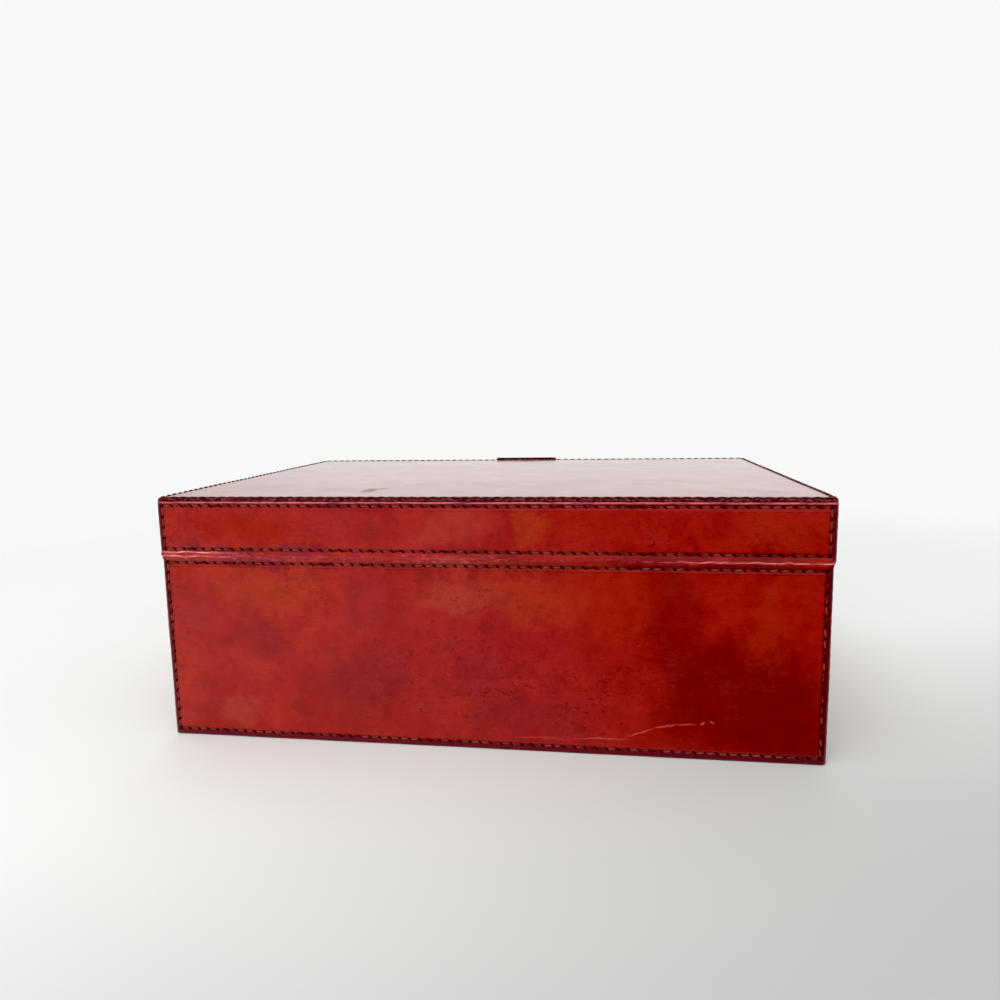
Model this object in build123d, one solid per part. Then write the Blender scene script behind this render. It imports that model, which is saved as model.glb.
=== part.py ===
from build123d import *
import os
from typing import NamedTuple

# A leather-covered jewellery box. Millimetres, +Z up, origin at the middle of the bottom face.
# The closure flap is on the front (-Y). The leather hinge is along the rear (+Y).

# Outside of the box
base_length = 300.0
base_depth = 209.0
seam_height = 87.5
lid_height = 27.5
lid_overhang = 0.7
corner_radius = 2.0

# Leather, board and lining
side_leather = 1.8
top_leather = 2.2
top_edge_round = 0.8
rim_leather = 1.2
bottom_leather = 1.6
wall_board = 5.0
floor_board = 4.0
lid_board = 4.0
wall_lining = 1.2
soft_gap = 0.3

# Leather hinge: a band of the rear hide that bridges the seam
hinge_reach = 4.5

# Closure flap and its magnets
flap_width = 43.0
flap_drop = 42.0
flap_corner = 10.0
flap_front_layer = 1.6
flap_back_layer = 1.2
flap_gap = 0.3
fold_above_seam = 3.5
fold_relief = 0.95
root_rise = 1.7
root_corner = 1.2
magnet_radius = 6.0
magnet_drop = 27.0
flap_magnet_thickness = 1.0
flap_magnet_in_back = 0.4
base_magnet_thickness = 2.5

# Well in the base, under the tray
floor_pad = 2.5
well_liner = 3.0
well_divider = 4.0
well_divider_spacing = 94.0
well_divider_relief = 1.0

# Lift-out tray
tray_height = 34.0
tray_top_below_seam = 7.5
tray_play = 0.6
tray_wall = 3.0
tray_floor = 3.0
ring_bay_width = 92.0
necklace_bay_depth = 70.0
short_divider_count = 2
tab_width = 20.0
tab_thickness = 1.2
tab_length = 22.0
tab_rise = 6.0
tab_corner = 4.0
roll_width = 19.6
roll_height = 23.0
roll_gap = 0.4

# Lid lining
lid_pad = 4.7

# Heights that follow from the sizes above
top_height = seam_height + lid_height
floor_top = bottom_leather + floor_board
base_rim_bottom = seam_height - rim_leather
lid_rim_top = seam_height + rim_leather
top_leather_bottom = top_height - top_leather
lid_board_bottom = top_leather_bottom - lid_board
tray_top = seam_height - tray_top_below_seam
tray_bottom = tray_top - tray_height
fold_height = seam_height + fold_above_seam

# Depths into the wall, from the outer face of the leather
board_outer = side_leather
board_inner = board_outer + wall_board
lining_inner = board_inner + wall_lining

SIDES = ("front", "rear", "left", "right")

nodes = {}


class Plan(NamedTuple):
    """A rectangle seen from above."""

    left: float
    front: float
    right: float
    rear: float

    def inset(self, gap):
        """The same rectangle with every side moved inwards."""
        return Plan(self.left + gap, self.front + gap, self.right - gap, self.rear - gap)

    def slab(self, low, high):
        """The solid over this rectangle between two heights."""
        return block((self.left, self.front, low), (self.right, self.rear, high))


def block(low, high):
    """A box between its lowest and highest corners."""
    size = [b - a for a, b in zip(low, high)]
    centre = [(a + b) / 2 for a, b in zip(low, high)]
    return Pos(*centre) * Box(*size)


def butt_wall(plan, side, outer, inner, low, high):
    """One wall of a butt-jointed frame: front and rear run the full length, left and right fit between."""
    long_side = plan.inset(outer)
    short_side = plan.inset(inner)
    thick = inner - outer
    plans = {
        "front": Plan(long_side.left, long_side.front, long_side.right, long_side.front + thick),
        "rear": Plan(long_side.left, long_side.rear - thick, long_side.right, long_side.rear),
        "left": Plan(long_side.left, short_side.front, long_side.left + thick, short_side.rear),
        "right": Plan(long_side.right - thick, short_side.front, long_side.right, short_side.rear),
    }
    return plans[side].slab(low, high)


def mitre_wedge(plan, side, low, high):
    """The share of the walls that belongs to one side when the corners are cut at 45 degrees."""
    inner = plan.inset(lining_inner)
    near = [(plan.left, plan.front), (plan.right, plan.front), (plan.right, plan.rear), (plan.left, plan.rear)]
    far = [(inner.left, inner.front), (inner.right, inner.front), (inner.right, inner.rear), (inner.left, inner.rear)]
    start = {"front": 0, "right": 1, "rear": 2, "left": 3}[side]
    end = (start + 1) % 4
    outline = make_face(Polyline(near[start], near[end], far[end], far[start], close=True))
    return Pos(0, 0, low) * extrude(outline, high - low)


def leather_frame(plan, outer, inner, low, high):
    """A rectangular frame of leather, rounded at its upright corners when it is the outside."""
    body = plan.inset(outer).slab(low, high)
    if outer == 0:
        body = fillet(body.edges().filter_by(Axis.Z), corner_radius)
    return body - plan.inset(inner).slab(low, high)


def mitred_skin(plan, side, low, high):
    """The outer hide of one side, mitred at its ends."""
    return leather_frame(plan, 0, board_outer, low, high) & mitre_wedge(plan, side, low, high)


def mitred_rim(plan, side, low, high):
    """The leather turned over the edge of the board and the lining, mitred at its ends."""
    return leather_frame(plan, board_outer, lining_inner, low, high) & mitre_wedge(plan, side, low, high)


def build_shell(prefix, plan, skin, rear_skin, rim, board):
    """The leather and boards of the base or of the lid. Each of the last four is a low and a high."""
    for side in SIDES:
        nodes[f"{prefix}_{side}_board"] = butt_wall(plan, side, board_outer, board_inner, *board)
        turned_rim = mitred_rim(plan, side, *rim)
        if side == "rear":
            nodes[f"{prefix}_rear_leather"] = mitred_skin(plan, side, *rear_skin)
            nodes[f"{prefix}_rear_rim"] = turned_rim
        else:
            nodes[f"{prefix}_{side}_leather"] = mitred_skin(plan, side, *skin) + turned_rim


def build_base(plan):
    """The carcass of the base: hide, boards, bottom cover and wall linings."""
    build_shell(
        "base",
        plan,
        skin=(0, seam_height),
        rear_skin=(0, seam_height - hinge_reach),
        rim=(base_rim_bottom, seam_height),
        board=(bottom_leather, base_rim_bottom),
    )
    nodes["base_bottom_cover"] = plan.inset(board_outer).slab(0, bottom_leather)
    nodes["base_bottom_board"] = plan.inset(board_inner).slab(bottom_leather, floor_top)
    for side in SIDES:
        nodes[f"base_{side}_lining"] = butt_wall(
            plan, side, board_inner, lining_inner, floor_top, base_rim_bottom
        )


def build_lid(plan):
    """The lid: top hide on its board, side hides on their boards, linings and the padded panel."""
    build_shell(
        "lid",
        plan,
        skin=(seam_height, top_leather_bottom),
        rear_skin=(seam_height + hinge_reach, top_leather_bottom),
        rim=(seam_height, lid_rim_top),
        board=(lid_rim_top, top_leather_bottom),
    )
    top = plan.slab(top_leather_bottom, top_height)
    top = fillet(top.edges().filter_by(Axis.Z), corner_radius)
    nodes["lid_top_leather"] = fillet(top.faces().sort_by(Axis.Z)[-1].edges(), top_edge_round)
    nodes["lid_top_board"] = plan.inset(board_inner).slab(lid_board_bottom, top_leather_bottom)
    for side in SIDES:
        nodes[f"lid_{side}_lining"] = butt_wall(
            plan, side, board_inner, lining_inner, lid_rim_top, lid_board_bottom
        )
    pad_plan = plan.inset(lining_inner + soft_gap)
    nodes["lid_pad"] = pad_plan.slab(lid_board_bottom - lid_pad, lid_board_bottom)


def build_hinge(base_plan, lid_plan):
    """The band of hide that bridges the seam at the rear and bends when the lid opens."""
    lower = mitred_skin(base_plan, "rear", seam_height - hinge_reach, seam_height)
    upper = mitred_skin(lid_plan, "rear", seam_height, seam_height + hinge_reach)
    nodes["hinge_leather"] = lower + upper


def front_disc(face, z, thickness):
    """A magnet: a disc that starts at a front-facing plane and goes back into the wall."""
    centre = Location((0, face + thickness / 2, z), (90, 0, 0))
    return centre * Cylinder(magnet_radius, thickness)


def tab_outline(width, low, high, rounded_low, radius):
    """An upright leather tab in the XZ plane, with either its lower or its upper corners rounded."""
    middle = (low + high) / 2
    tab = Rectangle(width, high - low)
    corners = tab.vertices().sort_by(Axis.Y)
    picked = corners[:2] if rounded_low else corners[-2:]
    tab = fillet(picked, radius)
    return Plane.XZ * Pos(0, middle) * tab


def build_closure(base_plan, lid_plan):
    """The flap that folds down over the front, its sewn root on the lid, and both magnets."""
    thickness = flap_front_layer + flap_back_layer
    back = lid_plan.front - flap_gap
    front = back - thickness
    middle = (back + front) / 2
    tip = fold_height - flap_drop
    leaf = Pos(0, back, 0) * extrude(
        tab_outline(flap_width, tip, fold_height, True, flap_corner), thickness
    )
    fold = Location((0, middle, fold_height), (0, 90, 0)) * Cylinder(thickness / 2, flap_width)
    flap = leaf + fold
    magnet_height = fold_height - magnet_drop
    layer_face = back - flap_back_layer
    magnet = front_disc(
        layer_face + flap_magnet_in_back - flap_magnet_thickness, magnet_height, flap_magnet_thickness
    )
    layers = Plane((0, layer_face, 0), z_dir=(0, -1, 0))
    nodes["closure_flap"] = split(flap, bisect_by=layers, keep=Keep.TOP) - magnet
    nodes["closure_flap_lining"] = split(flap, bisect_by=layers, keep=Keep.BOTTOM) - magnet
    nodes["closure_flap_magnet"] = magnet

    root_low = fold_height + thickness / 2 + fold_relief
    root = tab_outline(flap_width, root_low, top_height + root_rise, False, root_corner)
    nodes["closure_root"] = Pos(0, lid_plan.front, 0) * extrude(root, thickness)

    base_magnet = front_disc(base_plan.front + board_outer, magnet_height, base_magnet_thickness)
    nodes["base_magnet"] = base_magnet
    nodes["base_front_board"] = nodes["base_front_board"] - base_magnet


def build_well(interior):
    """The lower storey: a padded floor, liners that carry the tray, and two dividers."""
    for side in SIDES:
        nodes[f"well_{side}_liner"] = butt_wall(interior, side, 0, well_liner, floor_top, tray_bottom)
    well = interior.inset(well_liner)
    divider_top = tray_bottom - well_divider_relief
    pad_top = floor_top + floor_pad
    nodes["well_floor_pad"] = well.inset(soft_gap).slab(floor_top, pad_top)
    for name, x in (("left", -well_divider_spacing / 2), ("right", well_divider_spacing / 2)):
        plan = Plan(x - well_divider / 2, well.front, x + well_divider / 2, well.rear)
        nodes[f"well_{name}_divider"] = plan.slab(pad_top, divider_top)


def ring_roll(left, right, front):
    """One padded roll: rings are pushed in beside it. Straight sides and a round top, lying along X."""
    radius = roll_width / 2
    shoulder = roll_height - radius
    base = Pos(0, shoulder / 2) * Rectangle(roll_width, shoulder)
    section = base + Pos(0, shoulder) * Circle(radius)
    foot = Plane((left, front + radius, tray_bottom + tray_floor), x_dir=(0, 1, 0), z_dir=(1, 0, 0))
    return extrude(foot * section, right - left)


def build_tray(interior):
    """The lift-out tray: floor, walls, dividers, ring rolls and two lifting tabs."""
    plan = interior.inset(tray_play)
    inside = plan.inset(tray_wall)
    floor_height = tray_bottom + tray_floor
    nodes["tray_floor"] = plan.slab(tray_bottom, floor_height)
    for side in SIDES:
        nodes[f"tray_{side}_wall"] = butt_wall(plan, side, 0, tray_wall, floor_height, tray_top)

    ring_right = inside.left + ring_bay_width
    bays_left = ring_right + tray_wall
    necklace_front = inside.rear - necklace_bay_depth
    bays_rear = necklace_front - tray_wall
    nodes["tray_ring_divider"] = Plan(ring_right, inside.front, bays_left, inside.rear).slab(
        floor_height, tray_top
    )
    nodes["tray_long_divider"] = Plan(bays_left, bays_rear, inside.right, necklace_front).slab(
        floor_height, tray_top
    )
    bay_width = (inside.right - bays_left - short_divider_count * tray_wall) / (short_divider_count + 1)
    for number in range(1, short_divider_count + 1):
        left = bays_left + number * bay_width + (number - 1) * tray_wall
        nodes[f"tray_short_divider_{number}"] = Plan(
            left, inside.front, left + tray_wall, bays_rear
        ).slab(floor_height, tray_top)

    roll_pitch = roll_width + roll_gap
    roll_count = int((inside.rear - inside.front - roll_gap) // roll_pitch)
    spare = inside.rear - inside.front - roll_count * roll_pitch + roll_gap
    rolls = [
        ring_roll(
            inside.left + tab_thickness + soft_gap,
            ring_right - soft_gap,
            inside.front + spare / 2 + number * roll_pitch,
        )
        for number in range(roll_count)
    ]
    nodes["tray_ring_rolls"] = Compound(children=rolls)

    tab_low = tray_top + tab_rise - tab_length
    for name, face in (("left", inside.left + tab_thickness), ("right", inside.right)):
        outline = tab_outline(tab_width, tab_low, tray_top + tab_rise, False, tab_corner)
        upright = extrude(outline, tab_thickness)
        nodes[f"tray_{name}_tab"] = Pos(face, 0, 0) * Rot(0, 0, -90) * upright


def main():
    base_plan = Plan(-base_length / 2, -base_depth / 2, base_length / 2, base_depth / 2)
    lid_plan = Plan(
        base_plan.left - lid_overhang,
        base_plan.front - lid_overhang,
        base_plan.right + lid_overhang,
        base_plan.rear,
    )
    interior = base_plan.inset(lining_inner)
    build_base(base_plan)
    build_lid(lid_plan)
    build_hinge(base_plan, lid_plan)
    build_closure(base_plan, lid_plan)
    build_well(interior)
    build_tray(interior)

    os.makedirs("parts", exist_ok=True)
    for name, shape in nodes.items():
        export_step(shape, f"parts/{name}.step")


main()
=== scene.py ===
"""The looks of a red leather jewelry box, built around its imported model.

Lengths in the classes are millimetres. Meshes are metres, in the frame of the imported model:
+Z is up, the closure flap is on the front (-Y) and the leather hinge along the rear (+Y).
"""

import logging
import math
from dataclasses import dataclass, field
from enum import Enum

import bmesh
import bpy
import numpy as np
from mathutils import Matrix, Vector

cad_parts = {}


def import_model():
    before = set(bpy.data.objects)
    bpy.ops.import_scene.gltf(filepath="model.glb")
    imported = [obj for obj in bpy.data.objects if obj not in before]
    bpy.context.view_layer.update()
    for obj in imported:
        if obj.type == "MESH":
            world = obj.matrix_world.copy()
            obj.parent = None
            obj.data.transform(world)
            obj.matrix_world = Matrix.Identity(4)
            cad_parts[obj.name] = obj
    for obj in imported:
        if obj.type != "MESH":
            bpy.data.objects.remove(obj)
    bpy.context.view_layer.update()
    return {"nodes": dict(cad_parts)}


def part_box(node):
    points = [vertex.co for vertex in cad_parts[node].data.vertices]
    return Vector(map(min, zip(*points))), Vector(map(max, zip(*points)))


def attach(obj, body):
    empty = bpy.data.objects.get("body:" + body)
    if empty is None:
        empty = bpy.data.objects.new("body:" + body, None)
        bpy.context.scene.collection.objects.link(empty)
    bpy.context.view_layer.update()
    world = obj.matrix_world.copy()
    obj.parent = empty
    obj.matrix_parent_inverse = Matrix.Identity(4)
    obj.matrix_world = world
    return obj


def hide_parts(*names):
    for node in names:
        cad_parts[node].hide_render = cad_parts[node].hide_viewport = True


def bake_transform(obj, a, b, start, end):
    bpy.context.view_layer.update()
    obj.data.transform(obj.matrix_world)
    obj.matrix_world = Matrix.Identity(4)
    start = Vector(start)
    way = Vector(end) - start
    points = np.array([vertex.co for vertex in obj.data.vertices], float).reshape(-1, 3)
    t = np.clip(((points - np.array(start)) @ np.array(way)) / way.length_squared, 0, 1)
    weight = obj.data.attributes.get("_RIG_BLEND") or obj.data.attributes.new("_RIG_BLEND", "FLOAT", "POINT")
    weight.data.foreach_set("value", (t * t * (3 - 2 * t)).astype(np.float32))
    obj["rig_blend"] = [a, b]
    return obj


Colour = tuple[float, float, float, float]
Place = tuple[float, float, float]
Span = tuple[float, float]
Socket = bpy.types.NodeSocket
Material = bpy.types.Material

LOG = logging.getLogger("jewelry_box")
MM = 0.001

# How far the side hides of the lid reach over the lower edge of the top hide, in millimetres
TOP_SEAM_LIFT = 0.4

# The longest stitch of a row, in millimetres
STITCH = 4.7

# The attributes of the level and the upright rows: place in stitches, distance from the row, 1 beside it
ROWS = ("level_row", "upright_row")

# What a row attribute holds where no row is near
NO_ROW = (0.0, 9.0, 0.0)

# The way up
UP = np.array([0, 0, 1.0])

# The waves of a ripple: how many, how fast they shorten and weaken, and the sum that gives its full height
RIPPLE_WAVES = 7
RIPPLE_SHORTENING = 0.6
RIPPLE_WEAKENING = 0.5
RIPPLE_SUM = 3


class Body(Enum):
    """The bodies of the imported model."""

    BASE = "base"
    LID = "lid"
    FLAP = "flap"
    TRAY = "tray"


class Slot(Enum):
    """The material slots of the record."""

    LEATHER = "red_leather"
    BOARD = "case_board"
    SUEDE = "suede_lining"
    STEEL = "magnet_steel"
    THREAD = "thread"


class Rim(Enum):
    """The edge of a hide that is turned in over the rim of its wall."""

    NONE = "none"
    UPPER = "upper"
    LOWER = "lower"


class Side(Enum):
    """A side of the box: the way along it, seen from outside, and the way out of it."""

    FRONT = ((1, 0, 0), (0, -1, 0))
    REAR = ((-1, 0, 0), (0, 1, 0))
    LEFT = ((0, -1, 0), (-1, 0, 0))
    RIGHT = ((0, 1, 0), (1, 0, 0))

    @property
    def along(self) -> np.ndarray:
        """Unit vector along the side."""
        return np.array(self.value[0], float)

    @property
    def out(self) -> np.ndarray:
        """Unit vector out of the side."""
        return np.array(self.value[1], float)


def srgb(red: int, green: int, blue: int) -> Colour:
    """Returns the linear colour of an sRGB colour of 0 to 255 per channel."""
    linear = [((c / 255 + 0.055) / 1.055) ** 2.4 if c > 10 else c / 255 / 12.92 for c in (red, green, blue)]
    return (*linear, 1.0)


def smoothstep(low: float, high: float, value: np.ndarray) -> np.ndarray:
    """Returns 0 below low, 1 above high and a smooth rise in between."""
    t = np.clip((value - low) / (high - low), 0, 1)
    return t * t * (3 - 2 * t)


def bell(distance: np.ndarray, half_width: float) -> np.ndarray:
    """Returns 1 at no distance, and a smooth fall to nothing on both sides."""
    return np.exp(-((distance / half_width) ** 2))


def node_box(name: str) -> tuple[np.ndarray, np.ndarray]:
    """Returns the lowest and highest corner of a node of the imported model, in millimetres."""
    low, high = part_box(name)
    return np.array(low) / MM, np.array(high) / MM


# Nodes


def add_node(tree: bpy.types.NodeTree, kind: str, inputs: dict | None = None,
             **settings: object) -> bpy.types.Node:
    """Adds a node to a tree.

    Args:
        tree: The tree.
        kind: The node's type.
        inputs: Values or sockets for the node's inputs, by name or number.
        settings: Properties of the node.

    Returns:
        The node.
    """
    made = tree.nodes.new(kind)
    for key, value in settings.items():
        setattr(made, key, value)
    for key, value in (inputs or {}).items():
        feed(tree, made.inputs[key], value)
    return made


def feed(tree: bpy.types.NodeTree, socket: Socket, value: object) -> None:
    """Feeds an input of a node.

    Args:
        tree: The tree.
        socket: The input.
        value: A socket to link to it, or its value.
    """
    if isinstance(value, Socket):
        tree.links.new(value, socket)
    else:
        socket.default_value = value


class Shader:
    """A material under construction, with short calls for its nodes.

    Its place is the object coordinates, in metres.
    """

    def __init__(self, name: str) -> None:
        """Starts a material with an empty Principled surface.

        Args:
            name: The material's name.
        """
        self.material = bpy.data.materials.new(name)
        self.material.use_nodes = True
        self.tree = self.material.node_tree
        self.surface = self.tree.nodes["Principled BSDF"]
        self.place = self.node("TexCoord").outputs["Object"]

    def node(self, kind: str, inputs: dict | None = None, **settings: object) -> bpy.types.Node:
        """Adds a node as in add_node, its type given without the ShaderNode prefix."""
        return add_node(self.tree, "ShaderNode" + kind, inputs, **settings)

    def set(self, **values: object) -> None:
        """Sets inputs of the surface, with underscores for spaces in their names."""
        for key, value in values.items():
            feed(self.tree, self.surface.inputs[key.replace("_", " ")], value)

    def scaled_place(self, scale: Place, centre: Place = (0, 0, 0)) -> Socket:
        """Returns the object coordinates from a centre, times a scale along each axis."""
        location = tuple(-c * s for c, s in zip(centre, scale))
        return self.node("Mapping", {"Vector": self.place, "Location": location, "Scale": scale}).outputs[0]

    def attribute(self, name: str, output: str = "Fac") -> Socket:
        """Returns an output of an attribute of the mesh."""
        return self.node("Attribute", attribute_name=name).outputs[output]

    def math(self, operation: str, first: object, second: object = 0.0) -> Socket:
        """Returns the result of a sum on one or two values."""
        return self.node("Math", {0: first, 1: second}, operation=operation).outputs[0]

    def ramp(self, value: object, low: float, high: float, to_low: float = 0, to_high: float = 1) -> Socket:
        """Returns a value mapped smoothly from one range to another and held inside it."""
        inputs = {0: value, 1: low, 2: high, 3: to_low, 4: to_high}
        return self.node("MapRange", inputs, interpolation_type="SMOOTHSTEP").outputs[0]

    def mix(self, share: object, first: object, second: object, blend: str = "MIX") -> Socket:
        """Returns a mix of two colours."""
        inputs = {0: share, 6: first, 7: second}
        return self.node("Mix", inputs, data_type="RGBA", blend_type=blend).outputs[2]

    def bump(self, height: object, distance: float, strength: float, normal: Socket | None = None) -> Socket:
        """Returns a normal bumped by a height of 0 to 1, which stands for a distance in metres."""
        inputs = {"Height": height, "Distance": distance, "Strength": strength}
        return self.node("Bump", {**inputs, **({"Normal": normal} if normal else {})}).outputs[0]


# Finishes


@dataclass(frozen=True)
class Grain:
    """A noise in a finish, and the shares that it gives between two of its levels."""

    scale: float
    detail: float = 3
    roughness: float = 0.5
    levels: Span = (0.3, 0.7)
    shares: Span = (0, 1)
    stretch: Place | None = None
    centre: Place = (0, 0, 0)
    distortion: float = 0

    def noise(self, shader: Shader, output: int = 0) -> Socket:
        """Returns the noise.

        Args:
            shader: The material.
            output: 0 for its value, 1 for its colour.

        Returns:
            The output's socket.
        """
        place = shader.scaled_place(self.stretch, self.centre) if self.stretch else shader.place
        inputs = {"Vector": place, "Scale": self.scale, "Detail": self.detail,
                  "Roughness": self.roughness, "Distortion": self.distortion}
        return shader.node("TexNoise", inputs).outputs[output]

    def mask(self, shader: Shader, noise: Socket | None = None) -> Socket:
        """Returns the shares, from the noise given or else from a new one."""
        return shader.ramp(noise or self.noise(shader), *self.levels, *self.shares)


@dataclass(frozen=True)
class Drift:
    """A wandering of the places that marks are laid with, which gives them ragged edges."""

    grain: Grain
    reach: float

    def place(self, shader: Shader) -> Socket:
        """Returns the wandering place.

        Args:
            shader: The material.

        Returns:
            The place, in metres.
        """
        noise = self.grain.noise(shader, output=1)
        shift = shader.node("VectorMath", {0: noise, 1: (0.5, 0.5, 0.5)}, operation="SUBTRACT").outputs[0]
        shift = shader.node("VectorMath", {0: shift, "Scale": self.reach}, operation="SCALE").outputs[0]
        return shader.node("VectorMath", {0: shader.place, 1: shift}, operation="ADD").outputs[0]


@dataclass(frozen=True)
class Patch:
    """A soft-edged area of another colour: its centre and half-sizes in millimetres.

    It may be turned about the way out of the rear, by degrees.
    """

    centre: Place
    size: Place
    colour: Colour
    share: float
    turn: float = 0.0
    core: float = 0.4
    rim: float = 1.15

    def mask(self, shader: Shader, place: Socket) -> Socket:
        """Returns the patch's share, from its core to nothing at its edge.

        Args:
            shader: The material that the patch is part of.
            place: The coordinates that the patch is drawn in, in metres.

        Returns:
            The share at each place.
        """
        local = shader.node("Mapping", {
            "Vector": place, "Location": tuple(c * MM for c in self.centre),
            "Rotation": (0, math.radians(self.turn), 0), "Scale": tuple(s * MM for s in self.size),
        }, vector_type="TEXTURE").outputs[0]
        away = shader.node("VectorMath", {0: local}, operation="LENGTH").outputs["Value"]
        return shader.ramp(away, self.core, self.rim, self.share, 0)

    def over(self, shader: Shader, place: Socket, colour: object) -> Socket:
        """Returns a colour with the patch laid over it, at places as in mask."""
        return shader.mix(self.mask(shader, place), colour, self.colour)


class Tint(Enum):
    """Tones of the mottled hide."""

    RED = srgb(158, 30, 24)
    ORANGE = srgb(172, 54, 28)
    EMBER = srgb(164, 40, 24)
    FLAME = srgb(160, 26, 8)
    MAROON = srgb(118, 22, 20)
    WINE = srgb(136, 26, 38)
    ROSE = srgb(158, 36, 40)
    GLOW = srgb(172, 56, 42)
    # The top hide's tones: a darker copy of the side tones, painted shade against the strong light that falls
    # on the top
    TOP = srgb(146, 46, 34)
    TOP_SHADE = srgb(132, 34, 34)
    RIM = srgb(84, 24, 28)
    STAIN = srgb(60, 40, 40)
    SCUFF = srgb(214, 96, 88)


# Where the rear hide changes tone: x, z, half-width, half-height, tone, share. Partly the hide's own mottling
# and partly painted reflection: lighter, hazier tones towards +x and deeper reds towards -x.
REAR_PATCHES = (
    (-108, 60, 92, 140, Tint.RED, 1.0), (-24, 70, 26, 17, Tint.ORANGE, 0.7),
    (-56, 66, 24, 22, Tint.EMBER, 0.6), (-112, 28, 46, 34, Tint.MAROON, 0.85),
    (-88, 60, 15, 28, Tint.MAROON, 0.6), (-124, 60, 9, 20, Tint.EMBER, 0.6),
    (52, 32, 20, 15, Tint.WINE, 0.65), (103, 52, 18, 14, Tint.WINE, 0.45),
    (137, 61, 14, 13, Tint.ROSE, 0.6), (0, 36, 16, 12, Tint.WINE, 0.4),
    (-20, 16, 38, 13, Tint.WINE, 0.5), (52, 68, 12, 22, Tint.ROSE, 0.6),
    (113, 15, 14, 10, Tint.GLOW, 0.65), (100, 74, 36, 11, Tint.ORANGE, 0.6),
    (12, 72, 24, 12, Tint.GLOW, 0.8), (142, 82, 9, 5, Tint.EMBER, 0.9),
    (112, 101, 30, 10, Tint.FLAME, 1.0), (58, 103, 22, 9, Tint.ROSE, 0.6),
    (11, 102, 22, 9, Tint.GLOW, 0.5), (-20, 102, 11, 9, Tint.ORANGE, 0.8),
    (-127, 102, 22, 9, Tint.EMBER, 0.6), (-130, 20, 20, 26, Tint.MAROON, 0.7),
    (-98, 87, 60, 5, Tint.MAROON, 0.9), (0, 87, 50, 5, Tint.MAROON, 0.5),
    (100, 87, 62, 5, Tint.WINE, 0.9), (-135, 8, 40, 10, Tint.MAROON, 0.7),
)

# Where the rear hide is worn and flecked: x, z, half-width, half-height, tone, share
REAR_WEAR = (
    (12, 34, 56, 34, Tint.MAROON, 0.62), (-8, 28, 24, 16, Tint.MAROON, 0.85),
)

# The light scratch low on the rear hide: x, z, half-length, turn in degrees, share
REAR_SCRATCHES = (
    (-28, 6.4, 15, 1, 0.22), (-54, 7.4, 13, 3, 0.42), (-71.5, 11.2, 6.5, 21, 0.5), (-82, 14.6, 6, 12, 0.45),
    (-91, 15.6, 4.5, 4, 0.4), (-97.5, 16.4, 1.2, 20, 0.6), (-101.5, 16.9, 1.3, -30, 0.6),
)

# The small blot on the top: x, distance from the rear, half-width, half-length, share
TOP_BLOT = (
    (56, 27.5, 4.4, 9, 0.9), (51.5, 34.5, 4.2, 4.6, 0.55),
)


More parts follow.
